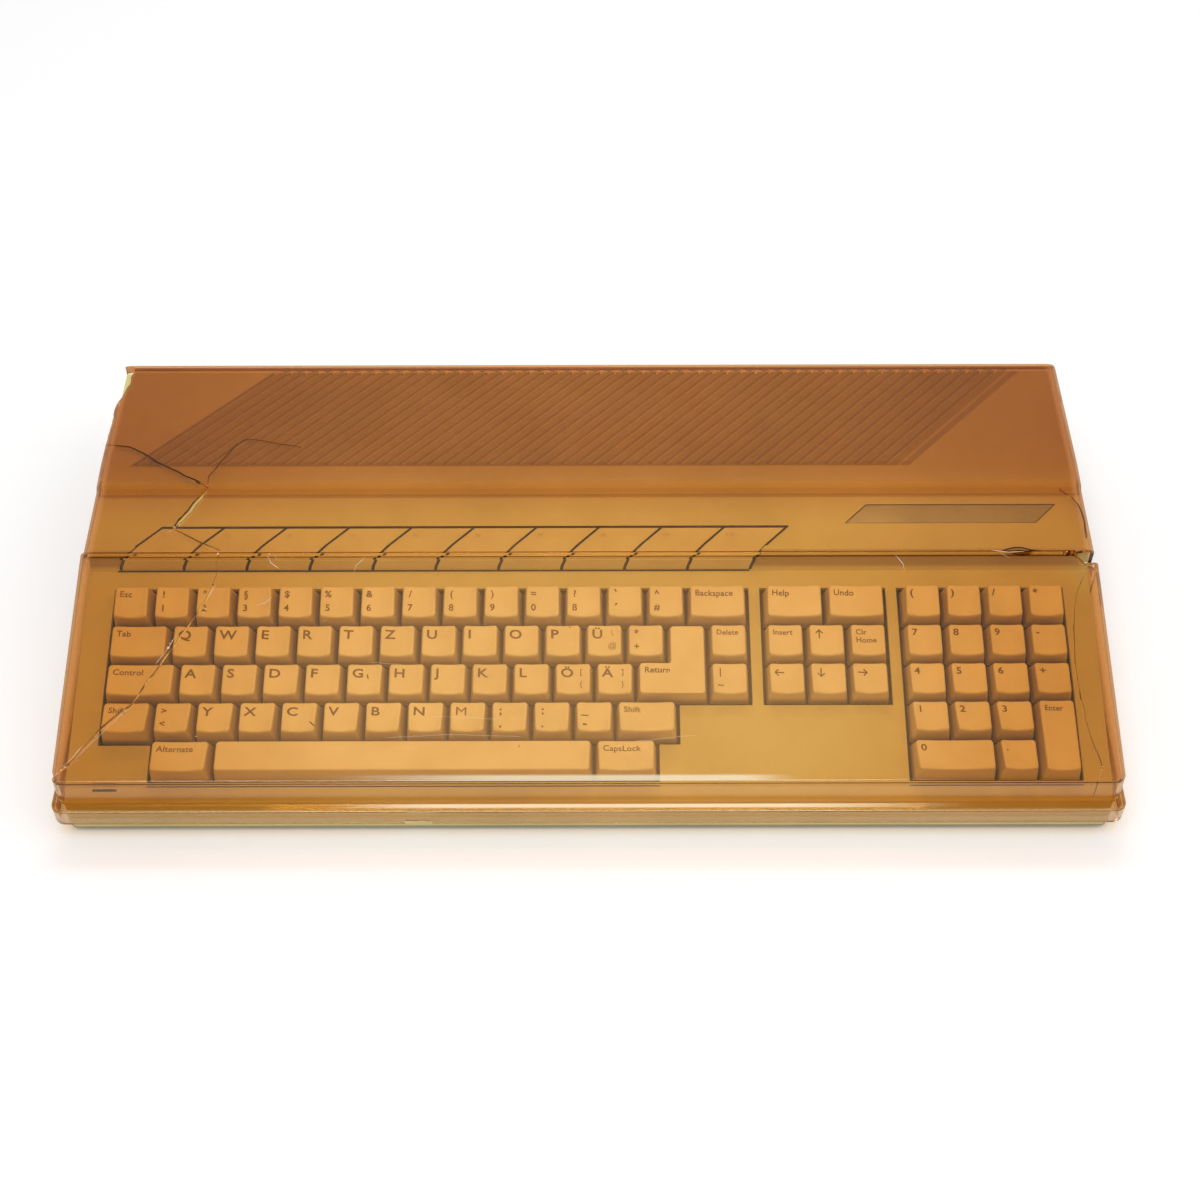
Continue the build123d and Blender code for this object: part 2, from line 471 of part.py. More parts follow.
with BuildPart() as contact_sheet:
    with BuildSketch(DECK.offset(BOARD_TOP_N)):
        with Locations((0, (FRAME_S0 + 3 + FRAME_S1) / 2)):
            Rectangle(2 * FRAME_X - 8, FRAME_S1 - FRAME_S0 - 3)
    extrude(amount=SHEET_T)
contact_sheet.part.label = "Contact sheet"

with BuildPart() as keyboard_board:
    with BuildSketch(DECK.offset(BOARD_TOP_N - BOARD_T)):
        with Locations((0, (FRAME_S0 + 3 + FRAME_S1) / 2)):
            Rectangle(2 * FRAME_X - 8, FRAME_S1 - FRAME_S0 - 3)
    extrude(amount=BOARD_T)
keyboard_board.part.label = "Keyboard circuit board"

SPACER_S = (FRAME_S0 + 7.0, (FRAME_S0 + FRAME_S1) / 2, FRAME_S1 - 6.0)
SPACERS = [(x, s) for x in (6.0 - FRAME_X, FRAME_X - 6.0) for s in SPACER_S] + [(CURSOR_X, row_s(4))]
with BuildPart() as keyboard_spacers:
    with BuildSketch(DECK.offset(BOARD_TOP_N + SHEET_T)):
        with Locations(*SPACERS):
            Rectangle(5.0, 5.0)
    extrude(amount=PLATE_TOP_N - PLATE_T - BOARD_TOP_N - SHEET_T)
keyboard_spacers.part.label = "Keyboard spacers"

# ---------------------------------------------------------------- function keys
FKEY_REAR_GAP, FKEY_WALL = 0.6, 1.4
FKEY_SKIRT = 2.6                        # lower edge of the front, below the deck
# side profile from the band's front edge (Y, Z): flat top, rounded front, drawn from rear to front
fkey_front = [(2.7, 0.05), (-1.0, -0.8), (-3.7, -3.0), (-5.1, -5.7), (-5.6, -8.2), (-5.6, -8.0 - FKEY_SKIRT)]
fkey_back_y = FKEY_REAR[1] - FKEY_REAR_GAP - BAND_FRONT[0]
fkey_profile = [(fkey_back_y, 0.36), *fkey_front, (fkey_back_y, -4.6)]
BAND_EDGE = Plane(origin=(0, *BAND_FRONT), x_dir=(0, 1, 0), z_dir=(1, 0, 0))


def function_key(index):
    """Slanted key cap with a rounded front, open below, on one square stem."""
    x = FKEY_REAR[0] + index * FKEY_PITCH + FKEY_GAP / 2
    width = FKEY_PITCH - FKEY_GAP
    reach = SLANT * (FKEY_REAR[1] - FKEY_FRONT_Y) + 2
    side_view = BAND_EDGE.offset(x - reach)
    inner_x = x + FKEY_WALL / cos(atan(SLANT))
    inner_w = width - 2 * FKEY_WALL / cos(atan(SLANT))
    with BuildPart() as room:
        with BuildSketch(side_view):
            Polygon(*fkey_profile, align=None)
            offset(amount=-FKEY_WALL, kind=Kind.INTERSECTION, mode=Mode.REPLACE)
            # open at the bottom
            Polygon((fkey_back_y - FKEY_WALL, -2.0), (-5.6 + FKEY_WALL, -8.0), (-5.6 + FKEY_WALL, -20.0),
                    (fkey_back_y - FKEY_WALL, -20.0), align=None)
        extrude(amount=width + reach + 2)
        with BuildSketch(Plane.XY):
            Polygon(*slanted(inner_x, FKEY_REAR[1], inner_w, FKEY_FRONT_Y), align=None)
        extrude(amount=BAND_REAR[1] + 10, mode=Mode.INTERSECT)
    with BuildPart() as cap:
        with BuildSketch(side_view):
            Polygon(*fkey_profile, align=None)
        extrude(amount=width + reach + 2)
        with BuildSketch(Plane.XY):
            Polygon(*slanted(x, FKEY_REAR[1], width, FKEY_FRONT_Y), align=None)
        extrude(amount=BAND_REAR[1] + 10, mode=Mode.INTERSECT)
        add(room.part, mode=Mode.SUBTRACT)
        with BuildSketch(Plane.XY.offset(FKEY_STEM_END_Z)):
            with Locations(fkey_centres[index]):
                Rectangle(STEM, STEM)
        extrude(amount=BAND_FRONT[1] - FKEY_WALL / 2 - FKEY_STEM_END_Z)
    return cap.part


for index in range(FKEY_COUNT):
    caps[f"function_key_{index + 1}"] = [function_key(index)]

# ================================================================ electronics
with BuildPart() as main_board:
    with BuildSketch(Plane.XY.offset(BOARD_Z)):
        with Locations((0, (BOARD_Y0 + BOARD_Y1) / 2)):
            Rectangle(CASE_W - 2 * BOARD_EDGE, BOARD_Y1 - BOARD_Y0)
    extrude(amount=BOARD_THICK)
main_board.part.label = "Main circuit board"

SHEET = 0.6                             # thickness of the shield sheet
with BuildPart() as lower_shield:
    with BuildSketch(Plane.XY.offset(FLOOR_Z + FLOOR_T)):
        with Locations((0, REAR_Y - 95.0)):
            Rectangle(CASE_W - 70.0, 140.0)
        with Locations(*BOARD_POSTS):
            Rectangle(8.0, 8.0, mode=Mode.SUBTRACT)
    extrude(amount=SHEET)
lower_shield.part.label = "Lower shield"

SHIELD_X, SHIELD_Y0, SHIELD_Y1 = CASE_W / 2 - 43.0, REAR_Y - 156.0, REAR_Y - 22.0
SHIELD_Z = BOARD_TOP + 10.4
with BuildPart() as upper_shield:
    with BuildSketch(Plane.XY.offset(BOARD_TOP)):
        with Locations((0, (SHIELD_Y0 + SHIELD_Y1) / 2)):
            Rectangle(2 * SHIELD_X, SHIELD_Y1 - SHIELD_Y0)
    extrude(amount=SHIELD_Z - BOARD_TOP)
    with BuildSketch(Plane.XY.offset(BOARD_TOP)):
        with Locations((0, (SHIELD_Y0 + SHIELD_Y1) / 2)):
            Rectangle(2 * (SHIELD_X - SHEET), SHIELD_Y1 - SHIELD_Y0 - 2 * SHEET)
    extrude(amount=SHIELD_Z - BOARD_TOP - SHEET, mode=Mode.SUBTRACT)
    with BuildSketch(Plane.XY.offset(SHIELD_Z)):
        with Locations((0, (SHIELD_Y0 + SHIELD_Y1) / 2)):
            with GridLocations(50.0, 40.0, 6, 2):
                Rectangle(30.0, 4.0)
    extrude(amount=-SHEET, mode=Mode.SUBTRACT)
upper_shield.part.label = "Upper shield"


def chips_part(places, size):
    """Row of moulded chip packages standing on the main board."""
    with BuildPart() as chips:
        with BuildSketch(Plane.XY.offset(BOARD_TOP)):
            with Locations(*places):
                Rectangle(size[0], size[1])
        extrude(amount=size[2])
    return chips.part


CHIP_Y = REAR_Y - 50.0                  # row of the large chips
memory_places = [(LEFT_X + 85.0 + 24.0 * i, CHIP_Y - dy) for i in range(8) for dy in (88.0, 74.0)]
blocks = {
    "processor": ("Processor", chips_part([(LEFT_X + 115.0, CHIP_Y)], (81.0, 20.0, 4.6))),
    "custom_chips": ("Custom chips", chips_part([(LEFT_X + 190.0 + 50.0 * i, CHIP_Y) for i in range(4)],
                                                (33.0, 33.0, 4.2))),
    "memory_chips": ("Memory chips", chips_part(memory_places, (19.5, 7.2, 3.6))),
    "program_chips": ("Program store chips", chips_part([(RIGHT_X - 175.0 + 20.0 * i, CHIP_Y - 62.0)
                                                         for i in range(6)], (14.0, 36.0, 4.4))),
}

with BuildPart() as keyboard_link:
    link = (LEFT_X + 85.0, BOARD_Y0 + 9.0)
    keyboard_under = deck_z(link[1]) + (BOARD_TOP_N - BOARD_T) / COS - 0.3
    with BuildSketch(Plane.XY.offset(BOARD_TOP)):
        with Locations(link):
            Rectangle(46.0, 5.0)
    extrude(amount=6.0)
    with BuildSketch(Plane.XY.offset(BOARD_TOP)):
        with Locations(link):
            Rectangle(42.0, 1.2)
    extrude(amount=keyboard_under - BOARD_TOP)
keyboard_link.part.label = "Keyboard connector"


PORT_SET_BACK = 0.6                     # port faces, inside the case's outer face
MOUTH_DEPTH = 9.0


def round_socket(name, hole):
    """Square-bodied round socket facing the rear."""
    from_right, width, height = REAR_PORTS[name]
    x, face_y = RIGHT_X - from_right, REAR_Y - PORT_SET_BACK
    with BuildPart() as socket:
        with BuildSketch(Plane.XY.offset(BOARD_TOP)):
            with Locations((x, face_y - 7.8)):
                Rectangle(width, 15.6)
        extrude(amount=height)
        with BuildSketch(Plane.XZ.offset(-face_y)):
            with Locations((x, BOARD_TOP + height / 2)):
                RegularPolygon(hole, 16)
        extrude(amount=MOUTH_DEPTH, mode=Mode.SUBTRACT)
    return socket.part


def d_socket(plane, centre, width, shell):
    """Shielded D connector: body, thin flange and slanted shroud, on a plane facing outwards."""
    cx, cz = centre
    with BuildPart() as socket:
        with BuildSketch(plane.offset(-1.6)):
            with Locations((cx, cz)):
                Rectangle(width, LOW - 1.4)
        extrude(amount=-1.0)
        with BuildSketch(plane.offset(-2.6)):
            with Locations((cx, (BOARD_TOP + cz + 5.0) / 2)):
                Rectangle(shell + 6.0, cz + 5.0 - BOARD_TOP)
        extrude(amount=-9.0)
        with BuildSketch(plane.offset(-1.6)):
            with Locations((cx, cz)):
                Trapezoid(shell, 8.2, 80, rotation=180)
        extrude(amount=1.6)
    return socket.part


REAR_FACE = Plane(origin=(0, REAR_Y, 0), x_dir=(-1, 0, 0), z_dir=(0, 1, 0))
RIGHT_FACE = Plane(origin=(RIGHT_X, 0, 0), x_dir=(0, 1, 0), z_dir=(1, 0, 0))
D_Z = BOARD_TOP + LOW / 2
PIN_25, PIN_19, PIN_9 = 39.0, 30.0, 17.0   # widths of the D-shaped shrouds


def rear_d_socket(name, shell):
    from_right, width, _ = REAR_PORTS[name]
    return d_socket(REAR_FACE, (from_right - RIGHT_X, D_Z), width, shell)


blocks["power_socket"] = ("Power socket", round_socket("power_socket", 7.6))
blocks["midi_out_socket"] = ("Music output socket", round_socket("midi_out", 7.6))
blocks["midi_in_socket"] = ("Music input socket", round_socket("midi_in", 7.6))
blocks["monitor_socket"] = ("Monitor socket", round_socket("monitor", 8.0))
blocks["floppy_socket"] = ("Disk drive socket", round_socket("floppy", 8.4))
blocks["printer_port"] = ("Printer port", rear_d_socket("printer", PIN_25))
blocks["modem_port"] = ("Modem port", rear_d_socket("modem", PIN_25))
blocks["hard_disk_port"] = ("Hard disk port", rear_d_socket("hard_disk", PIN_19))

controllers = [d_socket(RIGHT_FACE, (y, D_Z), CONTROLLER_W, PIN_9) for y in CONTROLLER_Y]
with BuildPart() as joystick_ports:
    add(controllers)
joystick_ports.part.label = "Controller ports"

with BuildPart() as cartridge_slot:
    with BuildSketch(Plane.XY.offset(BOARD_TOP)):
        with Locations((LEFT_X + 9.0, CARTRIDGE_Y)):
            Rectangle(16.0, CARTRIDGE_W)
    extrude(amount=CARTRIDGE_H)
    with BuildSketch(Plane.XY.offset(BOARD_TOP + CARTRIDGE_H / 4)):
        with Locations((LEFT_X + 6.0, CARTRIDGE_Y)):
            Rectangle(12.0, CARTRIDGE_W - 8.0)
    extrude(amount=CARTRIDGE_H / 2, mode=Mode.SUBTRACT)
cartridge_slot.part.label = "Cartridge slot"

# ---------------------------------------------------------------- power switch and reset button
SWITCH_X, SWITCH_Z = RIGHT_X - REAR_PORTS["power_switch"][0], BOARD_TOP + TALL / 2
SWITCH_FACE_Y = REAR_Y - 0.2
ROCKER_W, ROCKER_H, ROCKER_GAP = 12.0, 13.0, 0.4
ROCKER_PIVOT_Y, PIN_R, PIN_GAP, PIN_LENGTH = REAR_Y - 3.5, 1.0, 0.08, 16.0
with BuildPart() as power_switch:
    with BuildSketch(Plane.XY.offset(BOARD_TOP)):
        with Locations((SWITCH_X, SWITCH_FACE_Y - 8.0)):
            Rectangle(REAR_PORTS["power_switch"][1], 16.0)
    extrude(amount=TALL)
    with BuildSketch(Plane.XZ.offset(-SWITCH_FACE_Y)):
        with Locations((SWITCH_X, SWITCH_Z)):
            Rectangle(ROCKER_W + 2 * ROCKER_GAP, ROCKER_H + 2 * ROCKER_GAP)
    extrude(amount=8.0, mode=Mode.SUBTRACT)
    with BuildSketch(Plane.YZ.offset(SWITCH_X - PIN_LENGTH / 2 - PIN_GAP)):
        with Locations((ROCKER_PIVOT_Y, SWITCH_Z)):
            RegularPolygon(PIN_R + PIN_GAP, 12, major_radius=False)
    extrude(amount=PIN_LENGTH + 2 * PIN_GAP, mode=Mode.SUBTRACT)
power_switch.part.label = "Power switch body"

# the rocker turns about a pin along X and rests with its upper half pressed in
ROCKER_TURN = 9.0
rocker_angle = radians(ROCKER_TURN)
ROCKER = Plane(origin=(SWITCH_X - ROCKER_W / 2, ROCKER_PIVOT_Y, SWITCH_Z),
               x_dir=(0, cos(rocker_angle), sin(rocker_angle)), z_dir=(1, 0, 0))
rocker_half = [(5.0, ROCKER_H / 2 - 0.8), (2.9, ROCKER_H / 2 - 0.6), (-0.7, ROCKER_H / 2 - 2.1), (-1.9, 0)]
with BuildPart() as power_rocker:
    # two shallow faces meet at the middle
    with BuildSketch(ROCKER):
        Polygon((3.7, 0), *rocker_half, *[(y, -z) for y, z in rocker_half[2::-1]], align=None)
    extrude(amount=ROCKER_W)
    with BuildSketch(Plane.YZ.offset(SWITCH_X - PIN_LENGTH / 2)):
        with Locations((ROCKER_PIVOT_Y, SWITCH_Z)):
            Circle(PIN_R)
    extrude(amount=PIN_LENGTH)
power_rocker.part.label = "Power rocker"

RESET_X, RESET_Z, RESET_GAP = RIGHT_X - REAR_PORTS["reset"][0], BOARD_TOP + LOW / 2, 0.3
RESET_BUTTON, RESET_FACE_Y, RESET_LENGTH = 4.0, REAR_Y + 1.2, 9.0
with BuildPart() as reset_switch:
    with BuildSketch(Plane.XY.offset(BOARD_TOP)):
        with Locations((RESET_X, REAR_Y - PORT_SET_BACK - 6.0)):
            Rectangle(REAR_PORTS["reset"][1], 12.0)
    extrude(amount=LOW)
    with BuildSketch(Plane.XZ.offset(-REAR_Y)):
        with Locations((RESET_X, RESET_Z)):
            Rectangle(RESET_BUTTON + 2 * RESET_GAP, RESET_BUTTON + 2 * RESET_GAP)
    extrude(amount=10.5, mode=Mode.SUBTRACT)
reset_switch.part.label = "Reset switch body"

with BuildPart() as reset_button:
    with BuildSketch(Plane.XZ.offset(-RESET_FACE_Y)):
        with Locations((RESET_X, RESET_Z)):
            Rectangle(RESET_BUTTON, RESET_BUTTON)
    extrude(amount=RESET_LENGTH)
reset_button.part.label = "Reset button"

# ================================================================ dust cover
COVER_LIFT = 0.6                        # between the cover's underside and the case's high parts
BOX_FRONT_Z = 34.5                      # inside height at the front edge, clear of the space bar
BOX_REAR_Y, BOX_CLEAR_Z = BAND_FRONT[0] - 6.6, BAND_FRONT[1] + 4.05
cover_inside = [
    (FRONT_Y + 2.0, LEDGE_Z - 4.0), (FRONT_Y + 2.6, BOX_FRONT_Z), (BOX_REAR_Y, BOX_CLEAR_Z),
    (BOX_REAR_Y + 1.2, BAND_FRONT[1] + COVER_LIFT), (BAND_REAR[0] + 0.1, BAND_REAR[1] + COVER_LIFT),
    (STEP_TOP[0] + 0.5, STEP_TOP[1] + COVER_LIFT), (HUMP_FRONT[0], HUMP_FRONT[1] + COVER_LIFT),
    (REAR_Y + 0.5, HUMP_REAR[1] + COVER_LIFT), (REAR_Y + 0.6, LEDGE_Z - 4.0),
]
BOX_CORNER_Y = (FRONT_Y + 0.1, REAR_Y + 2.8)           # outside of the walls, at the ledge
BROKEN_CORNER = [(LEFT_X + dx, REAR_Y + dy) for dx, dy in (
    (-3.5, 3.5), (2.4, 1.0), (3.2, -6.0), (2.2, -14.0), (0.4, -24.0), (-0.6, -36.0), (-0.8, -50.0),
    (-1.2, -54.0), (-3.5, -54.0))]
BROKEN_SHOULDER = [(RIGHT_X + dx, BAND_FRONT[0] + dy) for dx, dy in (
    (-8.4, -1.8), (-4.0, -8.2), (0.2, -11.4), (4.0, -11.4), (4.0, -1.8))]
NOTCH_X, NOTCH_W, NOTCH_H = LEFT_X + 158.8, 12.0, 1.6  # thumb notch in the front skirt

with BuildPart() as dust_cover:
    with BuildSketch(Plane.YZ.offset(-COVER_HALF_W)):
        Polygon(*cover_inside, align=None)
        offset(amount=COVER_T, kind=Kind.INTERSECTION, mode=Mode.REPLACE)
    extrude(amount=2 * COVER_HALF_W)
    with BuildSketch(Plane.XY.offset(LEDGE_Z - COVER_T)):
        with Locations((0, sum(BOX_CORNER_Y) / 2)):
            RectangleRounded(2 * COVER_HALF_W, BOX_CORNER_Y[1] - BOX_CORNER_Y[0], COVER_CORNER)
    extrude(amount=HUMP_FRONT[1] + 10, mode=Mode.INTERSECT)
    with BuildSketch(Plane.XY.offset(SKIRT_FOOT_Z)):
        RectangleRounded(2 * SKIRT_HALF_W, 2 * SKIRT_Y, COVER_CORNER + 2)
    extrude(amount=LEDGE_Z - SKIRT_FOOT_Z)
    # hollow it out
    with BuildSketch(Plane.YZ.offset(COVER_T - COVER_HALF_W)):
        Polygon(*cover_inside, align=None)
    extrude(amount=2 * (COVER_HALF_W - COVER_T), mode=Mode.SUBTRACT)
    with BuildSketch(Plane.XY.offset(SKIRT_FOOT_Z)):
        RectangleRounded(2 * (SKIRT_HALF_W - COVER_T), 2 * (SKIRT_Y - COVER_T), COVER_CORNER)
    extrude(amount=LEDGE_Z - SKIRT_FOOT_Z - COVER_T, mode=Mode.SUBTRACT)
    # rear wall left open for the leads
    with BuildSketch(Plane.XY.offset(SKIRT_FOOT_Z)):
        with Locations((0, SKIRT_Y)):
            Rectangle(2 * CABLE_CUT_HALF_W, 12.0)
    extrude(amount=CABLE_CUT_Z - SKIRT_FOOT_Z, mode=Mode.SUBTRACT)
    # old damage: broken rear left corner, broken right shoulder, and the notch in the skirt
    with BuildSketch(Plane.XY.offset(HUMP_REAR[1] - 14)):
        Polygon(*BROKEN_CORNER, align=None)
    extrude(amount=30, mode=Mode.SUBTRACT)
    with BuildSketch(Plane.XY.offset(BAND_FRONT[1] - 7)):
        Polygon(*BROKEN_SHOULDER, align=None)
    extrude(amount=20, mode=Mode.SUBTRACT)
    with BuildSketch(Plane.XY.offset(SKIRT_FOOT_Z)):
        with Locations((NOTCH_X, -SKIRT_Y)):
            Rectangle(NOTCH_W, 8.0)
    extrude(amount=NOTCH_H, mode=Mode.SUBTRACT)
dust_cover.part.label = "Dust cover"

# ================================================================ write the parts
os.makedirs("parts", exist_ok=True)
single = {
    "top_case": top_case, "bottom_case": bottom_case, "rubber_feet": rubber_feet, "case_screws": case_screws,
    "badge_plate": badge_plate, "power_led": power_led, "keyboard_frame": keyboard_frame,
    "contact_sheet": contact_sheet, "keyboard_board": keyboard_board, "keyboard_spacers": keyboard_spacers,
    "main_board": main_board, "lower_shield": lower_shield, "upper_shield": upper_shield,
    "keyboard_link": keyboard_link, "joystick_ports": joystick_ports, "cartridge_slot": cartridge_slot,
    "power_switch": power_switch, "power_rocker": power_rocker, "reset_switch": reset_switch,
    "reset_button": reset_button, "dust_cover": dust_cover,
}
for node, built in single.items():
    export_step(built.part, f"parts/{node}.step")
for node, (label, solid) in blocks.items():
    solid.label = label
    export_step(solid, f"parts/{node}.step")
for node, keys in caps.items():
    group = keys[0] if len(keys) == 1 else Compound(children=keys)
    group.label = node.replace("_", " ").capitalize()
    export_step(group, f"parts/{node}.step")
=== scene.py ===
import bpy, bmesh, json
from math import radians, sin, cos, tan, atan2, pi, sqrt, hypot
from mathutils import Vector, Matrix, noise

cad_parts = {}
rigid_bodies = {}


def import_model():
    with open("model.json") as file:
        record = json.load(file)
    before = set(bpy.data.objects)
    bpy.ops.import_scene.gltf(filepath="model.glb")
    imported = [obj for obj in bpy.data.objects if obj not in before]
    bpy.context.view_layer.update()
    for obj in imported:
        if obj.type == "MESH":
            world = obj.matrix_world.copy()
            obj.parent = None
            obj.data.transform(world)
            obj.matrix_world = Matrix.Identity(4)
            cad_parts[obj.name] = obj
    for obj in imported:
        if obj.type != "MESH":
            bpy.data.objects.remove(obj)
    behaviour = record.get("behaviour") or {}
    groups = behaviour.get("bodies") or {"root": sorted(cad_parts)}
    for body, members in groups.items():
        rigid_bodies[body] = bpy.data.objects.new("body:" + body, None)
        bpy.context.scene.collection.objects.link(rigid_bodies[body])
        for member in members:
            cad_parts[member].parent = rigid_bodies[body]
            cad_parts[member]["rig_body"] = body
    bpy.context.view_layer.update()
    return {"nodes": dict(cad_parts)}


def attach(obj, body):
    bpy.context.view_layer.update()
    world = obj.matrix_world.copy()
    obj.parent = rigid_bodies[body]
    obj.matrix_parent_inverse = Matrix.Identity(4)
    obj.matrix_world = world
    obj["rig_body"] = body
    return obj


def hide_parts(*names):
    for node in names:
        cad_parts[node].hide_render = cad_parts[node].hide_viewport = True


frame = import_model()

MM = 0.001

# ---------------------------------------------------------------- camera
LOOKS_DOWN, ROLL = 49.93, -0.13         # degrees
cam_data = bpy.data.cameras.new("camera")
cam_data.lens = 58.652
cam_data.sensor_width = 36.0
cam_data.clip_start = 0.01
cam = bpy.data.objects.new("camera", cam_data)
bpy.context.scene.collection.objects.link(cam)
cam.location = (0.00524, -0.61128, 0.74603)
cam.rotation_euler = (Matrix.Rotation(radians(90 - LOOKS_DOWN), 4, "X")
                      @ Matrix.Rotation(radians(ROLL), 4, "Z")).to_euler()
bpy.context.scene.camera = cam
bpy.context.scene.view_settings.view_transform = "Standard"

# ---------------------------------------------------------------- driving sizes, as in the CAD, in mm
CASE_HALF, REAR = 235.0, 120.0
SLOPE = radians(15.2)                   # of the keyboard deck
C, S = cos(SLOPE), sin(SLOPE)
DECK0 = (-117.2, 18.9)                  # front end of the deck (Y, Z)
U = 19.05                               # key pitch
KB_HALF = 221.36
CUR, PAD = 15.87, 19.24                 # where the cursor and number blocks start, in pitches
TOP_N = (9.5, 7.5, 7.2, 8.4, 9.5)       # height of the key tops over the deck, row by row
TILT = (3.3, -1.7, -5.5, -12.3, -12.3)  # and their tilt in degrees


def ux(u):
    """X of a place across the keyboard, in pitches from its left end."""
    return u * U - KB_HALF


def rs(r):
    """Distance up the deck of the middle of a row; row 0 is the rear one."""
    return 8.6 + (4.5 - r) * U


def deck(x, s, n):
    """Point on the keyboard deck: X, distance up the slope, height out of it (mm) -> metres."""
    return Vector((x, DECK0[0] + s * C - n * S, DECK0[1] + s * S + n * C)) * MM


# ---------------------------------------------------------------- meshes
def link(obj):
    bpy.context.scene.collection.objects.link(obj)
    return obj


def mesh_object(name, verts, faces, smooth=True):
    me = bpy.data.meshes.new(name)
    me.from_pydata([tuple(v) for v in verts], [], faces)
    me.validate()
    bm = bmesh.new()
    bm.from_mesh(me)
    bmesh.ops.recalc_face_normals(bm, faces=bm.faces)
    bm.to_mesh(me)
    bm.free()
    for p in me.polygons:
        p.use_smooth = smooth
    return link(bpy.data.objects.new(name, me))


def merge(parts):
    """Verts and faces of several closed pieces as one mesh."""
    verts, faces = [], []
    for v, f in parts:
        faces += [tuple(i + len(verts) for i in face) for face in f]
        verts += v
    return verts, faces


def loops(count, rings, o=0):
    """Quads between equal closed rings of verts, the first of which is vert o."""
    return [(o + k * count + i, o + k * count + (i + 1) % count,
             o + (k + 1) * count + (i + 1) % count, o + (k + 1) * count + i)
            for k in range(rings - 1) for i in range(count)]


BOX_FACES = [(3, 2, 1, 0), (4, 5, 6, 7)] + loops(4, 2)


def apply_modifiers(obj):
    dg = bpy.context.evaluated_depsgraph_get()
    me = bpy.data.meshes.new_from_object(obj.evaluated_get(dg))
    old = obj.data
    obj.modifiers.clear()
    obj.data = me
    me.name = obj.name
    if old.users == 0:
        bpy.data.meshes.remove(old)
    return obj


def sharpen(obj, angle=32.0):
    """Smooth faces, with edges sharper than the angle kept crisp, and flat areas kept flat."""
    bm = bmesh.new()
    bm.from_mesh(obj.data)
    for f in bm.faces:
        f.smooth = True
    for e in bm.edges:
        e.smooth = not (len(e.link_faces) == 2 and e.calc_face_angle(0.0) > radians(angle))
    bm.to_mesh(obj.data)
    bm.free()
    m = obj.modifiers.new("wn", "WEIGHTED_NORMAL")
    m.keep_sharp = True
    m.weight = 80
    return apply_modifiers(obj)


def hand_in(obj, mat, body, replaced=None):
    """Gives a piece its material, hangs it on the body it rides on, and hides the CAD part that it replaces."""
    obj.data.materials.clear()
    obj.data.materials.append(mat)
    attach(obj, body)
    if replaced:
        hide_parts(replaced)
    return obj


def gather(name, parts, mat, body, smooth=False):
    return hand_in(mesh_object(name, *merge(parts), smooth), mat, body)


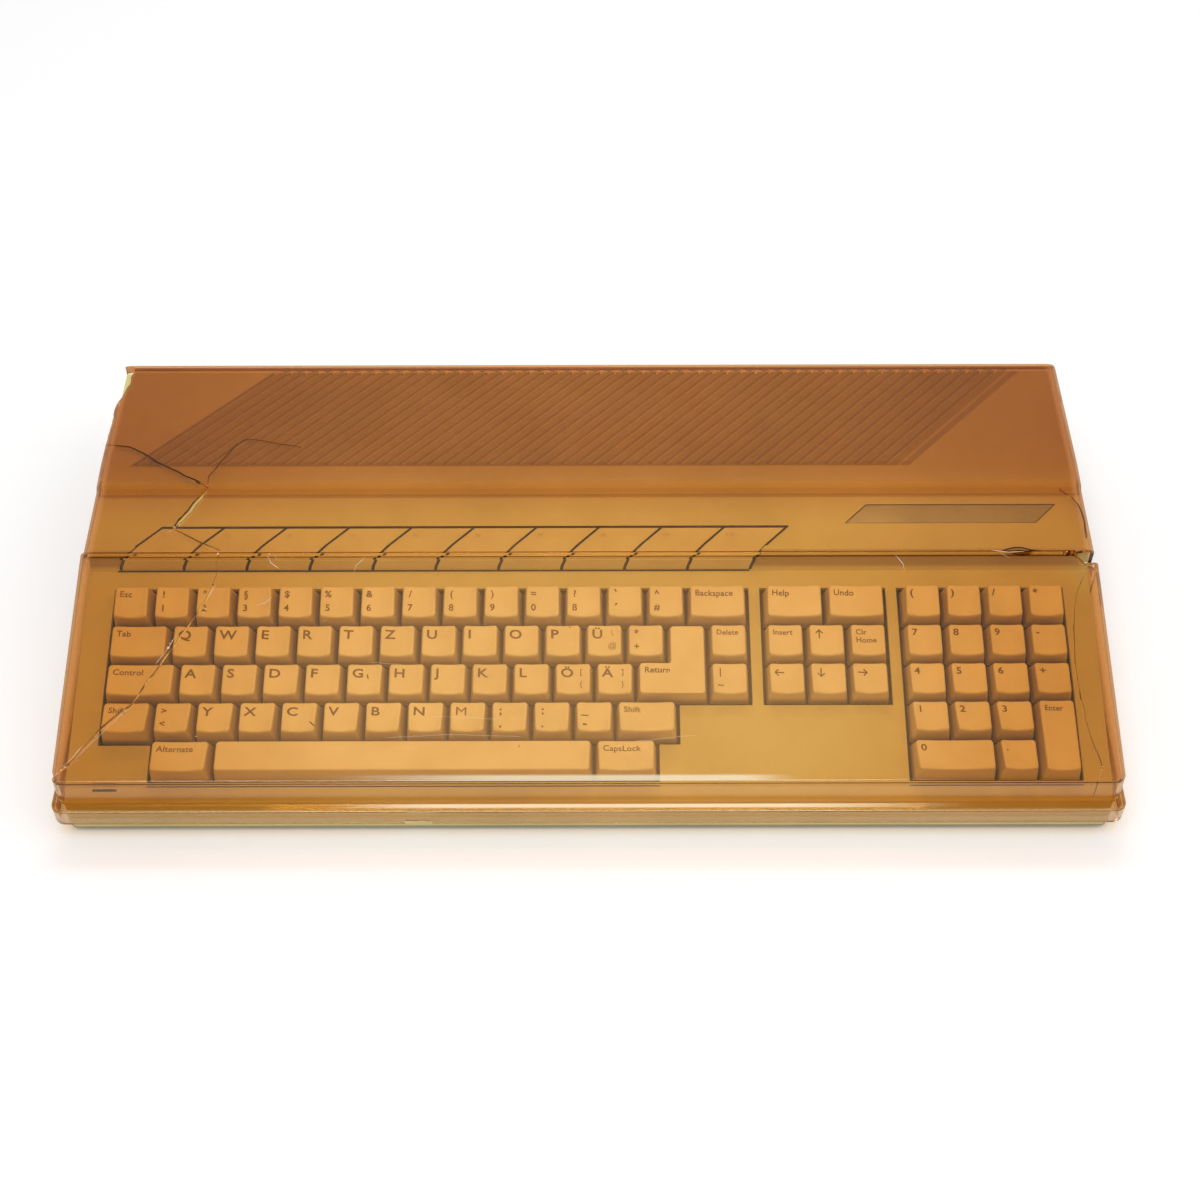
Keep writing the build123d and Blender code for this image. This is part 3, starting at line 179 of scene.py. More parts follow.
# ---------------------------------------------------------------- materials
class Nodes:
    """Small helper round one material's node tree."""

    def __init__(self, name):
        self.mat = bpy.data.materials.new(name)
        self.mat.use_nodes = True
        self.t = self.mat.node_tree
        self.t.nodes.clear()
        self.out = self.add("ShaderNodeOutputMaterial")

    def add(self, kind, **values):
        n = self.t.nodes.new(kind)
        for k, v in values.items():
            if k in n.inputs:
                n.inputs[k].default_value = v
            else:
                setattr(n, k, v)
        return n

    def link(self, a, b):
        self.t.links.new(a, b)

    def plug(self, value, socket):
        if isinstance(value, bpy.types.NodeSocket):
            self.link(value, socket)
        else:
            socket.default_value = value

    def noise(self, scale, detail, rough, vector):
        n = self.add("ShaderNodeTexNoise", Scale=scale, Detail=detail, Roughness=rough)
        self.link(vector, n.inputs["Vector"])
        return n.outputs["Fac"]

    def ramp(self, fac, stops):
        r = self.add("ShaderNodeValToRGB")
        while len(r.color_ramp.elements) < len(stops):
            r.color_ramp.elements.new(0.5)
        for e, (pos, col) in zip(r.color_ramp.elements, stops):
            e.position = pos
            e.color = (*col, 1.0)
        self.link(fac, r.inputs["Fac"])
        return r.outputs["Color"]

    def grey(self, fac, *stops):
        return self.ramp(fac, [(pos, (value,) * 3) for pos, value in stops])

    def drift(self, scale, pos, shades):
        """Slow change between a low, a middle and a high colour."""
        return self.ramp(self.noise(scale, 4.0, 0.6, pos), list(zip((0.3, 0.5, 0.72), shades)))

    def bump(self, height, strength, distance):
        b = self.add("ShaderNodeBump", Strength=strength, Distance=distance)
        self.link(height, b.inputs["Height"])
        return b.outputs["Normal"]

    def coordinate(self, kind="Object"):
        return self.add("ShaderNodeTexCoord").outputs[kind]

    def split(self, vector):
        n = self.add("ShaderNodeSeparateXYZ")
        self.link(vector, n.inputs[0])
        return n.outputs[0], n.outputs[1], n.outputs[2]

    def out_of_deck(self, vector):
        """The part of a vector that points out of the keyboard deck."""
        n = self.add("ShaderNodeVectorMath", operation="DOT_PRODUCT")
        self.link(vector, n.inputs[0])
        n.inputs[1].default_value = (0.0, -S, C)
        return n.outputs["Value"]

    def math(self, kind, a, b=0.0):
        n = self.add("ShaderNodeMath", operation=kind)
        self.plug(a, n.inputs[0])
        self.plug(b, n.inputs[1])
        return n.outputs[0]

    def fold(self, kind, values):
        result = values[0]
        for value in values[1:]:
            result = self.math(kind, result, value)
        return result

    def times(self, *values):
        return self.fold("MULTIPLY", values)

    def most(self, *values):
        return self.fold("MAXIMUM", values)

    def step(self, value, low, high):
        """Rises smoothly from 0 to 1 while the value goes from low to high; falls when low is above high."""
        n = self.add("ShaderNodeMapRange", interpolation_type="SMOOTHSTEP")
        self.link(value, n.inputs["Value"])
        rises = low < high
        for socket, end in zip(("From Min", "From Max", "To Min", "To Max"),
                               (low, high, 0.0, 1.0) if rises else (high, low, 1.0, 0.0)):
            n.inputs[socket].default_value = end
        return n.outputs[0]

    def band(self, value, *ends):
        """1 between two soft ends, each given as for step."""
        return self.times(self.step(value, *ends[:2]), self.step(value, *ends[2:]))

    def mix(self, kind, fac, a, b):
        n = self.add("ShaderNodeMix", data_type="RGBA", blend_type=kind)
        self.plug(fac, n.inputs[0])
        for value, socket in ((a, n.inputs[6]), (b, n.inputs[7])):
            self.plug(value if isinstance(value, bpy.types.NodeSocket) else (*value, 1.0), socket)
        return n.outputs[2]

    def layers(self, colour, *layers):
        """Colours laid over a colour one after the other: how, where and which."""
        for kind, mask, over in layers:
            colour = self.mix(kind, mask, colour, over)
        return colour

    def diffuse(self, colour):
        return self.add("ShaderNodeBsdfDiffuse", Color=(*colour, 1.0))

    def blend(self, fac, a, b):
        """Shader node a, turning into shader node b."""
        n = self.add("ShaderNodeMixShader")
        self.link(fac, n.inputs["Fac"])
        self.link(a.outputs[0], n.inputs[1])
        self.link(b.outputs[0], n.inputs[2])
        return n

    def surface(self, shader):
        self.link(shader.outputs[0], self.out.inputs["Surface"])
        return self.mat

    def principled(self, colour, **values):
        p = self.add("ShaderNodeBsdfPrincipled", **values)
        self.link(colour, p.inputs["Base Color"])
        return p

    def plastic(self, pos, colour, rough, gloss, gloss_scale, grain, bump):
        """Finish of a moulded plastic: slightly uneven gloss and a fine texture."""
        p = self.principled(colour, Roughness=rough)
        p.inputs["Specular IOR Level"].default_value = 0.4
        shine = self.grey(self.noise(gloss_scale, 4.0, 0.6, pos), (0.3, gloss[0]), (0.7, gloss[1]))
        self.link(shine, p.inputs["Roughness"])
        self.link(self.bump(self.noise(grain, 2.0, 0.5, pos), bump, 0.0004), p.inputs["Normal"])
        return self.surface(p)


def srgb(*rgb):
    """Linear colour from 8 bit values."""
    return tuple(c / 255.0 / 12.92 if c / 255.0 <= 0.04045 else ((c / 255.0 + 0.055) / 1.055) ** 2.4 for c in rgb)


def grained(name, low, mid, high, rough, scale, grain, bump):
    """Moulded plastic with a slow colour drift, from three 8 bit colours."""
    n = Nodes(name)
    pos = n.coordinate()
    colour = n.drift(scale * 0.35, pos, (srgb(*low), srgb(*mid), srgb(*high)))
    return n.plastic(pos, colour, rough, (rough * 0.86, rough * 1.12), scale, grain, bump)


def metal(name, low, mid, high, rough, scale=80.0, metallic=1.0):
    """Rolled or drawn metal: fine marks stretched along X."""
    n = Nodes(name)
    pos = n.coordinate()
    stretched = n.add("ShaderNodeMapping", Scale=(1.0, 30.0, 30.0))
    n.link(pos, stretched.inputs["Vector"])
    along = stretched.outputs["Vector"]
    p = n.principled(n.drift(scale * 0.4, pos, (srgb(*low), srgb(*mid), srgb(*high))),
                     Metallic=metallic, Roughness=rough)
    n.link(n.grey(n.noise(scale * 3, 3.0, 0.6, along), (0.3, rough * 0.8), (0.7, rough * 1.25)),
           p.inputs["Roughness"])
    n.link(n.bump(n.noise(scale * 6, 2.0, 0.5, along), 0.05, 0.0002), p.inputs["Normal"])
    return n.surface(p)


def case_plastic():
    """Aged case plastic. The ribbed vent panel is painted darker than the plain faces, as shade."""
    n = Nodes("aged_case_plastic")
    pos = n.coordinate()
    x, y, z = n.split(pos)
    plain = n.drift(16.0, pos, (srgb(206, 198, 134), srgb(214, 206, 144), srgb(221, 213, 154)))
    # place across the ribs, which run at a slant, and depth below their upper faces
    across = n.math("SUBTRACT", x, n.times(n.math("SUBTRACT", y, 0.051), 0.93))
    deep = n.math("SUBTRACT", n.math("SUBTRACT", 0.06163, n.times(y, 0.02059)), z)
    vent = n.times(n.band(across, -0.2228, -0.2216, 0.1572, 0.1560), n.step(y, 0.0496, 0.0502),
                   n.step(z, 0.054, 0.056))
    # painted shade and light across the ribs: their tops darker, the bottoms of the grooves lighter
    ribs = n.layers(
        n.mix("MIX", n.step(deep, 0.0007, 0.0014), (0.68, 0.61, 0.42), (1.0, 0.95, 0.82)),
        # no groove is left between the last rib and the plain part; a light line is painted in its place, as the lit
        # side of one
        ("MIX", n.band(across, 0.1500, 0.1508, 0.1528, 0.1520), (0.92, 0.86, 0.70)),
        # painted shade along the front end of the ribs, dimming a highlight there
        ("MULTIPLY", n.times(n.step(y, 0.0534, 0.0520), 0.8), (0.82, 0.78, 0.74)))
    # painted shade on the case under the cover's ridge, over the front of the band
    ridge_shade = n.times(n.band(z, 0.0495, 0.0515, 0.0562, 0.0554), n.band(y, -0.0078, -0.0074, 0.001, 0.0))
    rear_edge_light = n.times(n.step(y, 0.1166, 0.1176), n.step(z, 0.0564, 0.0572))
    colour = n.layers(
        n.mix("MIX", vent, plain, n.mix("MULTIPLY", 1.0, plain, ribs)),
        ("MULTIPLY", ridge_shade, (0.62, 0.54, 0.48)),
        # painted light along the rear edge of the hump
        ("MIX", n.times(rear_edge_light, 0.75), srgb(255, 244, 214)),
        # painted shade along the lower edge, where the case meets the floor
        ("MULTIPLY", n.step(z, 0.0046, 0.0032), (0.50, 0.48, 0.48)))
    return n.plastic(pos, colour, 0.55, (0.48, 0.62), 60.0, 1400.0, 0.22)


def cap_plastic():
    """Key caps: painted darker on the sides than on top, and darker still low down towards the deck, as shade."""
    n = Nodes("key_plastic")
    pos = n.coordinate()
    colour = n.layers(
        n.drift(42.0, pos, (srgb(236, 224, 186), srgb(243, 232, 196), srgb(249, 239, 206))),
        # painted shade on the faces that turn away from the top
        ("MULTIPLY", n.step(n.out_of_deck(n.coordinate("Normal")), 0.86, 0.62), (0.80, 0.73, 0.62)),
        # painted shade low down, in the gaps between the caps
        ("MULTIPLY", n.step(n.out_of_deck(pos), 0.0525, 0.0485), (0.66, 0.60, 0.54)))
    return n.plastic(pos, colour, 0.42, (0.36, 0.47), 120.0, 2600.0, 0.12)


# tint of the glass: low and high at the front, low and high at the rear; the deeper rear tint is painted shade over
# the hump
TINT = ((0.905, 0.645, 0.330), (0.925, 0.670, 0.360), (0.74, 0.44, 0.197), (0.77, 0.465, 0.214))
# tint of light that crosses one face: front, rear; the rear lets less light through, as painted shade
SHADE = ((0.951, 0.795, 0.585), (0.872, 0.672, 0.449))


def cover_material():
    """Clear amber-brown acrylic, deeper towards the rear and at the sides as painted shade: tinted glass, scuffs and
    a thin haze of scratches, with painted light and highlights in places.
    """
    n = Nodes("amber_acrylic")
    pos = n.coordinate()
    x, y, z = n.split(pos)
    off_middle = n.math("ABSOLUTE", x)
    # painted shade: the tint deepens towards the rear
    rear = n.step(y, 0.010, 0.055)
    # painted shade: the tint deepens and less light passes towards the sides
    side = n.step(off_middle, 0.09, 0.235)
    # the front middle is painted lighter, as a pool of light, and rubbed dull by hands
    dx, dy = n.math("DIVIDE", n.math("ADD", x, 0.01), 0.17), n.math("DIVIDE", n.math("ADD", y, 0.085), 0.075)
    reach = n.math("ADD", n.times(dx, dx), n.times(dy, dy))
    pooled_light = n.times(n.step(reach, 1.6, 0.0), n.step(z, 0.0335, 0.0360), 0.55)

    # the box's front wall is painted darker, as the shaded front of the case seen through it, most at its foot and
    # just under its upper edge; at the ends more plastic is looked through
    front_wall = n.step(y, -0.1184, -0.1189)
    wall_foot_shade = n.times(front_wall, n.band(z, 0.0276, 0.0262, 0.0202, 0.0208))
    lip_shade = n.times(front_wall, n.band(z, 0.0332, 0.0338, 0.0362, 0.0356))
    skirt = n.times(n.step(y, -0.1204, -0.1212), n.step(z, 0.0204, 0.0190))
    ends = n.times(n.step(off_middle, 0.2325, 0.2355), n.step(z, 0.040, 0.030))
    patch = n.noise(6.0, 3.0, 0.5, pos)
    tint = n.layers(
        n.mix("MIX", rear, *(n.ramp(patch, [(0.3, TINT[k]), (0.7, TINT[k + 1])]) for k in (0, 2))),
        ("MULTIPLY", side, (0.88, 0.80, 0.62)),
        ("MIX", pooled_light, (0.98, 0.80, 0.52)),
        ("MULTIPLY", n.times(front_wall, n.step(z, 0.0205, 0.0225)), (0.94, 0.92, 0.86)),
        ("MULTIPLY", wall_foot_shade, (0.76, 0.62, 0.36)),
        ("MULTIPLY", lip_shade, (0.80, 0.70, 0.55)),
        ("MIX", n.times(skirt, 0.9), (0.76, 0.60, 0.46)),
        ("MULTIPLY", ends, (0.80, 0.66, 0.50)))
    glass = n.principled(tint, Roughness=0.03, IOR=1.45)
    glass.inputs["Transmission Weight"].default_value = 1.0
    n.link(n.grey(n.noise(340.0, 5.0, 0.7, pos), (0.42, 0.02), (0.75, 0.10)), glass.inputs["Roughness"])
    worn = n.grey(n.noise(26.0, 6.0, 0.65, pos), (0.35, 0.010), (0.62, 0.026), (0.8, 0.05))
    rubbed = n.times(pooled_light, 0.14, n.step(z, 0.030, 0.034))
    hazed = n.blend(n.math("ADD", worn, rubbed), glass, n.diffuse(srgb(232, 184, 122)))

    # moulded corners: ridge of the box, step of the hood, rear edge
    high = n.step(z, 0.0570, 0.0576)
    ridge = n.times(n.band(y, -0.0102, -0.0100, -0.0046, -0.0048), high)
    step = n.times(n.band(y, 0.0306, 0.0308, 0.0398, 0.0390), high)
    edge = n.times(n.step(y, 0.1190, 0.1194), high)
    corner = n.times(n.most(ridge, step, edge), n.step(off_middle, 0.2362, 0.2352))
    # painted shade seen through the cover: a shadow over the hood's step, darkest at its foot, and a dark line along
    # the ridge
    shadow = n.times(n.step(y, 0.0390, 0.0322), step)
    ridge_line = n.times(n.band(y, -0.0076, -0.0073, -0.0059, -0.0062), high)
    step_foot_shade = n.times(n.band(y, 0.0306, 0.0310, 0.0324, 0.0319), high)
    # the wall behind the ridge is looked through once more, which must not count
    wall = n.step(n.math("ABSOLUTE", n.split(n.coordinate("Normal"))[1]), 0.60, 0.80)
    behind = n.times(n.band(y, -0.0104, -0.0101, -0.0030, -0.0034),
                     n.most(wall, n.times(n.step(z, 0.0590, 0.0584), n.step(y, -0.0030, -0.0036))))

    # clear passage, tinted a little otherwise for light than for the eye
    passing = n.layers(n.mix("MIX", rear, *SHADE), ("MULTIPLY", side, (0.94, 0.90, 0.80)),
                       ("MIX", pooled_light, (0.985, 0.88, 0.70)))
    seen = n.layers(passing, ("MULTIPLY", n.times(shadow, 0.5), (0.86, 0.80, 0.74)),
                    ("MULTIPLY", n.times(step_foot_shade, 0.8), (0.70, 0.62, 0.55)),
                    ("MIX", behind, (1.0, 1.0, 1.0)), ("MULTIPLY", ridge_line, (0.50, 0.42, 0.46)))
    path = n.add("ShaderNodeLightPath")
    lit = n.most(path.outputs["Is Shadow Ray"], path.outputs["Is Diffuse Ray"])
    clear = n.add("ShaderNodeBsdfTransparent")
    n.link(n.mix("MIX", lit, seen, passing), clear.inputs["Color"])
    # painted light: the rear edge is half turned to a light diffuse colour; the step gets a little haze
    dull = n.blend(n.most(n.times(edge, 0.46), n.times(step, 0.07)), clear, n.diffuse(srgb(234, 178, 126)))
    shell = n.blend(corner, hazed, dull)

    # painted highlights: the rounded side edges are made a dull light colour, the skirt's ledge and the front edge
    # of the box near white
    crest = n.math("MINIMUM", n.math("ADD", n.times(n.math("ADD", y, 0.1192), 0.242), 0.0359), 0.0598)
    near_crest = n.step(n.math("SUBTRACT", z, crest), -0.0030, -0.0018)
    narrow, broad = (n.times(n.step(off_middle, *ends_x), near_crest, amount)
                     for ends_x, amount in (((0.2346, 0.2364), 0.28), ((0.2315, 0.2340), 0.16)))
    sides = n.blend(n.math("ADD", narrow, broad), shell, n.diffuse(srgb(236, 176, 128)))
    ledge = n.times(n.band(y, -0.1198, -0.1202, -0.1226, -0.1216), n.band(z, 0.0196, 0.0201, 0.0224, 0.0216),
                    n.band(x, -0.125, -0.065, 0.175, 0.085), 0.9)
    brow = n.times(n.band(y, -0.1148, -0.1162, -0.1184, -0.1176), n.step(z, 0.0352, 0.0358),
                   n.band(x, -0.125, -0.03, 0.095, 0.065), 0.6)
    shine = n.blend(n.most(ledge, brow), sides, n.diffuse(srgb(255, 244, 212)))
    return n.surface(n.blend(lit, shine, clear))


m_case = case_plastic()
# the rib ends are a darker copy of the case plastic, as painted shade like the ribs
m_rib_shaded = grained("rib_plastic_shaded", (168, 153, 88), (174, 159, 92), (181, 165, 97), 0.55, 60, 1400, 0.22)
m_key = cap_plastic()
m_fkey = grained("function_key_plastic", (212, 202, 146), (219, 209, 153), (226, 216, 162), 0.45, 110, 2200, 0.12)
m_ink = grained("legend_ink", (112, 90, 62), (121, 98, 68), (132, 110, 78), 0.5, 200, 2000, 0.02)
m_faint = grained("faint_ink", (196, 182, 132), (200, 187, 138), (205, 192, 144), 0.5, 200, 2000, 0.02)
# dark flecks of dirt, and strips in the cracks that are dirt and painted shade
m_dirt_and_shade = grained("dirt_and_crack_shade", (48, 28, 12), (60, 36, 16), (74, 46, 22), 0.7, 300, 2000, 0.1)
m_flake = grained("white_flakes", (246, 232, 216), (250, 240, 228), (254, 248, 240), 0.5, 400, 2000, 0.3)
# painted shade: black for the strips in the gaps round the function keys
m_gap_shade = grained("gap_shade_black", (20, 17, 13), (25, 21, 17), (32, 27, 21), 0.7, 200, 2000, 0.1)
m_dark = grained("dark_plastic", (34, 32, 30), (42, 40, 37), (52, 49, 45), 0.5, 90, 1800, 0.15)
m_frame = grained("frame_plastic", (52, 46, 38), (60, 53, 44), (72, 63, 52), 0.6, 90, 1800, 0.15)
m_rubber = grained("rubber", (28, 28, 28), (36, 36, 36), (46, 46, 45), 0.8, 150, 900, 0.3)
m_sheet = grained("contact_sheet", (120, 118, 108), (132, 130, 120), (146, 143, 132), 0.4, 60, 700, 0.05)
m_chip = grained("chip_resin", (26, 26, 27), (33, 33, 34), (42, 42, 43), 0.45, 140, 2600, 0.2)
m_board = grained("board_lacquer", (24, 74, 42), (30, 88, 50), (44, 106, 62), 0.3, 50, 500, 0.08)
m_steel = metal("tinned_steel", (150, 150, 146), (168, 168, 164), (186, 186, 181), 0.38)
m_nickel = metal("nickel_shell", (166, 166, 160), (182, 182, 176), (198, 198, 191), 0.28)
m_screw = metal("zinc_screw", (130, 130, 128), (148, 148, 146), (166, 166, 163), 0.35, 200)
m_badge = metal("badge_metal", (164, 162, 144), (174, 172, 153), (183, 181, 162), 0.42, 120, 0.4)
m_lamp = grained("lamp_plastic", (40, 30, 22), (50, 36, 26), (62, 44, 30), 0.25, 150, 1500, 0.04)
m_pin = metal("contact_pin", (190, 168, 110), (206, 184, 126), (220, 200, 144), 0.3, 200)
m_cover = cover_material()


# ---------------------------------------------------------------- outlines and solids, in mm
def line_cross(p, d, q, e):
    det = d[0] * e[1] - d[1] * e[0]
    t = ((q[0] - p[0]) * e[1] - (q[1] - p[1]) * e[0]) / det
    return (p[0] + t * d[0], p[1] + t * d[1])


def inset_poly(pts, dist):
    """Moves edge i (from point i to i + 1) of a clockwise polygon inwards by dist[i]."""
    n = len(pts)
    lines = []
    for i in range(n):
        (ay, az), (by, bz) = pts[i], pts[(i + 1) % n]
        length = hypot(by - ay, bz - az)
        dy, dz = (by - ay) / length, (bz - az) / length
        lines.append(((ay + dz * dist[i], az - dy * dist[i]), (dy, dz)))
    return [line_cross(*lines[i - 1], *lines[i]) for i in range(n)]


def round_poly(pts, radii, steps=6):
    """The polygon with an arc of its own radius in each corner."""
    out = []
    n = len(pts)
    for i, r in enumerate(radii):
        p, a, b = Vector(pts[i]), Vector(pts[i - 1]), Vector(pts[(i + 1) % n])
        u, v = (a - p).normalized(), (b - p).normalized()
        if r <= 0:
            out.append(tuple(p))
            continue
        half = u.angle(v) / 2
        reach = r / tan(half)
        centre = p + (u + v).normalized() * (r / sin(half))
        start, end = p + u * reach - centre, p + v * reach - centre
        sweep = atan2(start.x * end.y - start.y * end.x, start.dot(end))
        for k in range(steps + 1):
            t = sweep * k / steps
            out.append((centre.x + start.x * cos(t) - start.y * sin(t),
                        centre.y + start.x * sin(t) + start.y * cos(t)))
    return out


def ring_solid(name, rings):
    """Closed solid from equal rings of points, with flat ends."""
    n = len(rings[0])
    ends = [tuple(range(n))[::-1], tuple(range(n * (len(rings) - 1), n * len(rings)))]
    return mesh_object(name, [Vector(p) * MM for ring in rings for p in ring], ends + loops(n, len(rings)))


def prism(name, points, z0, z1):
    """Vertical prism over a plan outline."""
    return ring_solid(name, [[(x, y, z) for x, y in points] for z in (z0, z1)])


def block(name, lo, hi):
    (x0, y0, z0), (x1, y1, z1) = lo, hi
    return prism(name, [(x0, y0), (x1, y0), (x1, y1), (x0, y1)], z0, z1)


def boolean(obj, cutter, how="DIFFERENCE"):
    m = obj.modifiers.new("b", "BOOLEAN")
    m.operation = how
    m.solver = "EXACT"
    m.object = cutter
    apply_modifiers(obj)
    bpy.data.objects.remove(cutter)
    return obj


# ---------------------------------------------------------------- dust cover
COVER_T, COVER_HALF = 1.8, 237.3
COVER_OUT = [(-120.2, 14.0), (-119.2, 35.9), (-6.6, 63.15), (-5.2, 59.4), (34.4, 60.45), (36.4, 62.0), (50.0, 63.0),
             (122.4, 61.56), (122.87, 14.0)]
OUTER_R = [0, 2.4, 1.8, 0.9, 2.0, 2.0, 60.0, 2.6, 0]
INNER_R = [0, 0.9, 0.5, 2.4, 0.9, 3.4, 60.0, 1.2, 0]
WALL_R = {0: 5.0, 7: 5.0}               # plan corner radius at the front and rear walls
OTHER_R = 2.2                           # and along the other edges of the profile
STATIONS = (5.0, 3.9, 2.9, 2.1, 1.5, 1.0, 0.6, 0.3, 0.1, 0.0)


def round_inset(r, e):
    """How far a corner of radius r has drawn in at the distance e from the end."""
    return 0.0 if e >= r else r - sqrt(max(r * r - (r - e) ** 2, 0.0))


def cover_solid(name, profile, radii, half, thin):
    """Long hood with rounded ends. thin is how much smaller the end radii are, for the inside."""
    rings = []
    n = len(profile)
    for side in (-1, 1):
        for e in (STATIONS[::-1] if side < 0 else STATIONS):
            dist = [round_inset(max(WALL_R.get(i, OTHER_R) - thin, 0.3), e) for i in range(n)]
            dist[n - 1] = 0.0
            ring = round_poly(inset_poly(profile, dist),
                              [max(r - max(dist[i], dist[i - 1]), 0.12) if r else 0 for i, r in enumerate(radii)])
            rings.append([(side * (half - e), y, z) for y, z in ring])
    return ring_solid(name, rings)


def rounded_rect(hx, hy, r):
    out = []
    for cx, cy, a0 in ((hx - r, hy - r, 0), (r - hx, hy - r, 90), (r - hx, r - hy, 180), (hx - r, r - hy, 270)):
        for k in range(9):
            a = radians(a0 + 90.0 * k / 8)
            out.append((cx + r * cos(a), cy + r * sin(a)))
    return out


def skirt_solid(name, hx, hy, r, z0, z1, top_round):
    rings = [[(x, y, z0) for x, y in rounded_rect(hx, hy, r)]]
    for k in range(5):
        a = radians(90.0 * k / 4)
        d = top_round * (1 - cos(a))
        z = z1 - top_round + top_round * sin(a)
        rings.append([(x, y, z) for x, y in rounded_rect(hx - d, hy - d, r - d)])
    return ring_solid(name, rings)


cover = cover_solid("dust_cover_shell", COVER_OUT, OUTER_R, COVER_HALF, 0.0)
inside = cover_solid("inside", inset_poly(COVER_OUT, [COVER_T] * 8 + [0.0]), INNER_R, COVER_HALF - COVER_T, COVER_T)
boolean(cover, skirt_solid("skirt_out", 239.7, 124.2, 5.4, 11.6, 20.9, 0.8), "UNION")
boolean(inside, skirt_solid("skirt_in", 237.9, 122.4, 3.6, 8.0, 19.1, 0.4), "UNION")
boolean(cover, inside)
boolean(cover, block("cable_cut", (-226, 118.2, 10), (226, 131, 40)))
boolean(cover, block("notch", (-82.2, -128, 10), (-70.2, -118, 13.2)))


def top_of_cover(y):
    """Height of the cover's outer face at a place in depth."""
    for (ya, za), (yb, zb) in zip(COVER_OUT[1:], COVER_OUT[2:8]):
        if ya <= y <= yb:
            return za + (zb - za) * (y - ya) / (yb - ya)
    return COVER_OUT[7][1]


def widened(points, width, taper):
    """Each point of a line with the way to its edge, which is nearer by the factor taper at both ends."""
    last = len(points) - 1
    for i, (x, y) in enumerate(points):
        (ax, ay), (bx, by) = points[max(i - 1, 0)], points[min(i + 1, last)]
        length = hypot(bx - ax, by - ay)
        half = width / 2 * (taper if i in (0, last) else 1.0)
        yield x, y, -(by - ay) / length * half, (bx - ax) / length * half


def kerf(name, points, width, z0, z1):
    """Wall along a crack, thin at its ends."""
    spots = list(widened(points, width, 0.3))
    return prism(name, [(x + nx, y + ny) for x, y, nx, ny in spots]
                 + [(x - nx, y - ny) for x, y, nx, ny in spots][::-1], z0, z1)


def ribbon(name, line, width, low, high, mat, taper=0.25):
    """Thin wall on the cover that follows a line, between two depths below its outer face."""
    rings = []
    for x, y, nx, ny in widened(line, width, taper):
        z = top_of_cover(y)
        rings.append([(x + nx, y + ny, z - low), (x - nx, y - ny, z - low),
                      (x - nx, y - ny, z - high), (x + nx, y + ny, z - high)])
    return hand_in(ring_solid(name, rings), mat, "dust_cover")


def jagged(points, size, seed, step):
    """The same line with small irregular bends, one every step mm."""
    out = [points[0]]
    for (ax, ay), (bx, by) in zip(points, points[1:]):
        length = hypot(bx - ax, by - ay)
        m = max(1, int(length / step))
        for k in range(1, m + 1):
            t = k / m
            x, y = ax + (bx - ax) * t, ay + (by - ay) * t
            if k < m:
                shift = noise.noise(Vector((x * 0.37, y * 0.37, seed))) * size
                x, y = x - (by - ay) / length * shift, y + (bx - ax) / length * shift
            out.append((x, y))
    return out


# old damage in plan: pieces that are gone, with the height they are gone from, and cracks right through the sheet
OVER_ALL = 70.0                         # a height above everything
GONE = (
    ("rear_corner", 44.5, jagged([
        (-240, 120.3), (-231.4, 120.3), (-231.0, 115), (-231.6, 107), (-233.4, 100.5), (-235.9, 92.5), (-236.6, 86),
        (-236.4, 76), (-236.6, 67.5), (-237.0, 64.6), (-240, 64.0)], 0.9, 1.0, 2.2)),
    ("shoulder", 50.0, jagged([(240, -4.4), (233.4, -3.6), (226.2, -5.2), (228.6, -11.0), (230.4, -13.0),
                               (233.0, -13.5), (240, -13.0)], 0.6, 2.0, 2.0)),
    ("corner_bite", 27.0, [(-238, -112.2), (-236.4, -113.0), (-235.9, -115.4), (-236.8, -116.6), (-238, -117.0)]),
    ("ridge_bite", 59.0, [(195.0, -4.6), (198.5, -6.1), (203.0, -6.9), (206.6, -6.2), (208.6, -4.7), (202.0, -3.6)]),
)
CRACKS = {
    # name: (line, width, what lies in it)
    "hump_crack": ([(-238.6, 64.0), (-232.0, 63.0), (-224.5, 61.9), (-217.5, 57.7), (-210.8, 52.2), (-195.0, 42.6),
                    (-183.7, 36.6)], 0.8, "dark"),
    "band_crack": ([(-183.5, 36.4), (-186.5, 30.6), (-190.3, 22.4), (-194.2, 16.1), (-196.9, 11.1)], 2.3, "open"),
    "key_crack": ([(-196.9, 10.6), (-188.1, 5.5), (-179.5, 0.5), (-172.8, -2.6)], 0.5, "soft"),
    "vent_crack": ([(-183.7, 36.8), (-183.4, 42.5), (-180.2, 48.1), (-176.3, 56.2), (-173.2, 62.5), (-168.8, 66.7),
                    (-160.4, 66.3), (-151.3, 63.8), (-140.8, 61.7)], 0.4, "soft"),
    "box_crack": ([(-172.8, -7.4), (-172.4, -17.2), (-173.8, -22.8), (-176.7, -31.3), (-190.4, -55.9),
                   (-205.7, -82.4), (-212.7, -88.0), (-217.9, -93.2), (-230.5, -110.3), (-236.0, -115.0)],
                  0.14, "light"),
    "right_crack": ([(226.4, 35.0), (231.2, 30.1), (234.0, 24.0), (235.2, 13.7), (234.6, 4.0), (233.8, -3.6)],
                    0.6, "dark"),
    "shoulder_crack": ([(222.4, -4.2), (226.4, -9.6), (230.2, -13.6), (234.2, -16.0), (237.0, -17.4)], 0.5, "dark"),
    "side_crack": ([(232.5, -14.1), (226.6, -25.3), (223.4, -36.0), (222.1, -44.2), (220.7, -60.0), (220.7, -72.9),
                    (222.7, -93.8), (227.2, -112.3), (224.2, -118.6)], 0.2, "soft"),
}
for name, z0, outline in GONE:
    boolean(cover, prism(name, outline, z0, OVER_ALL))
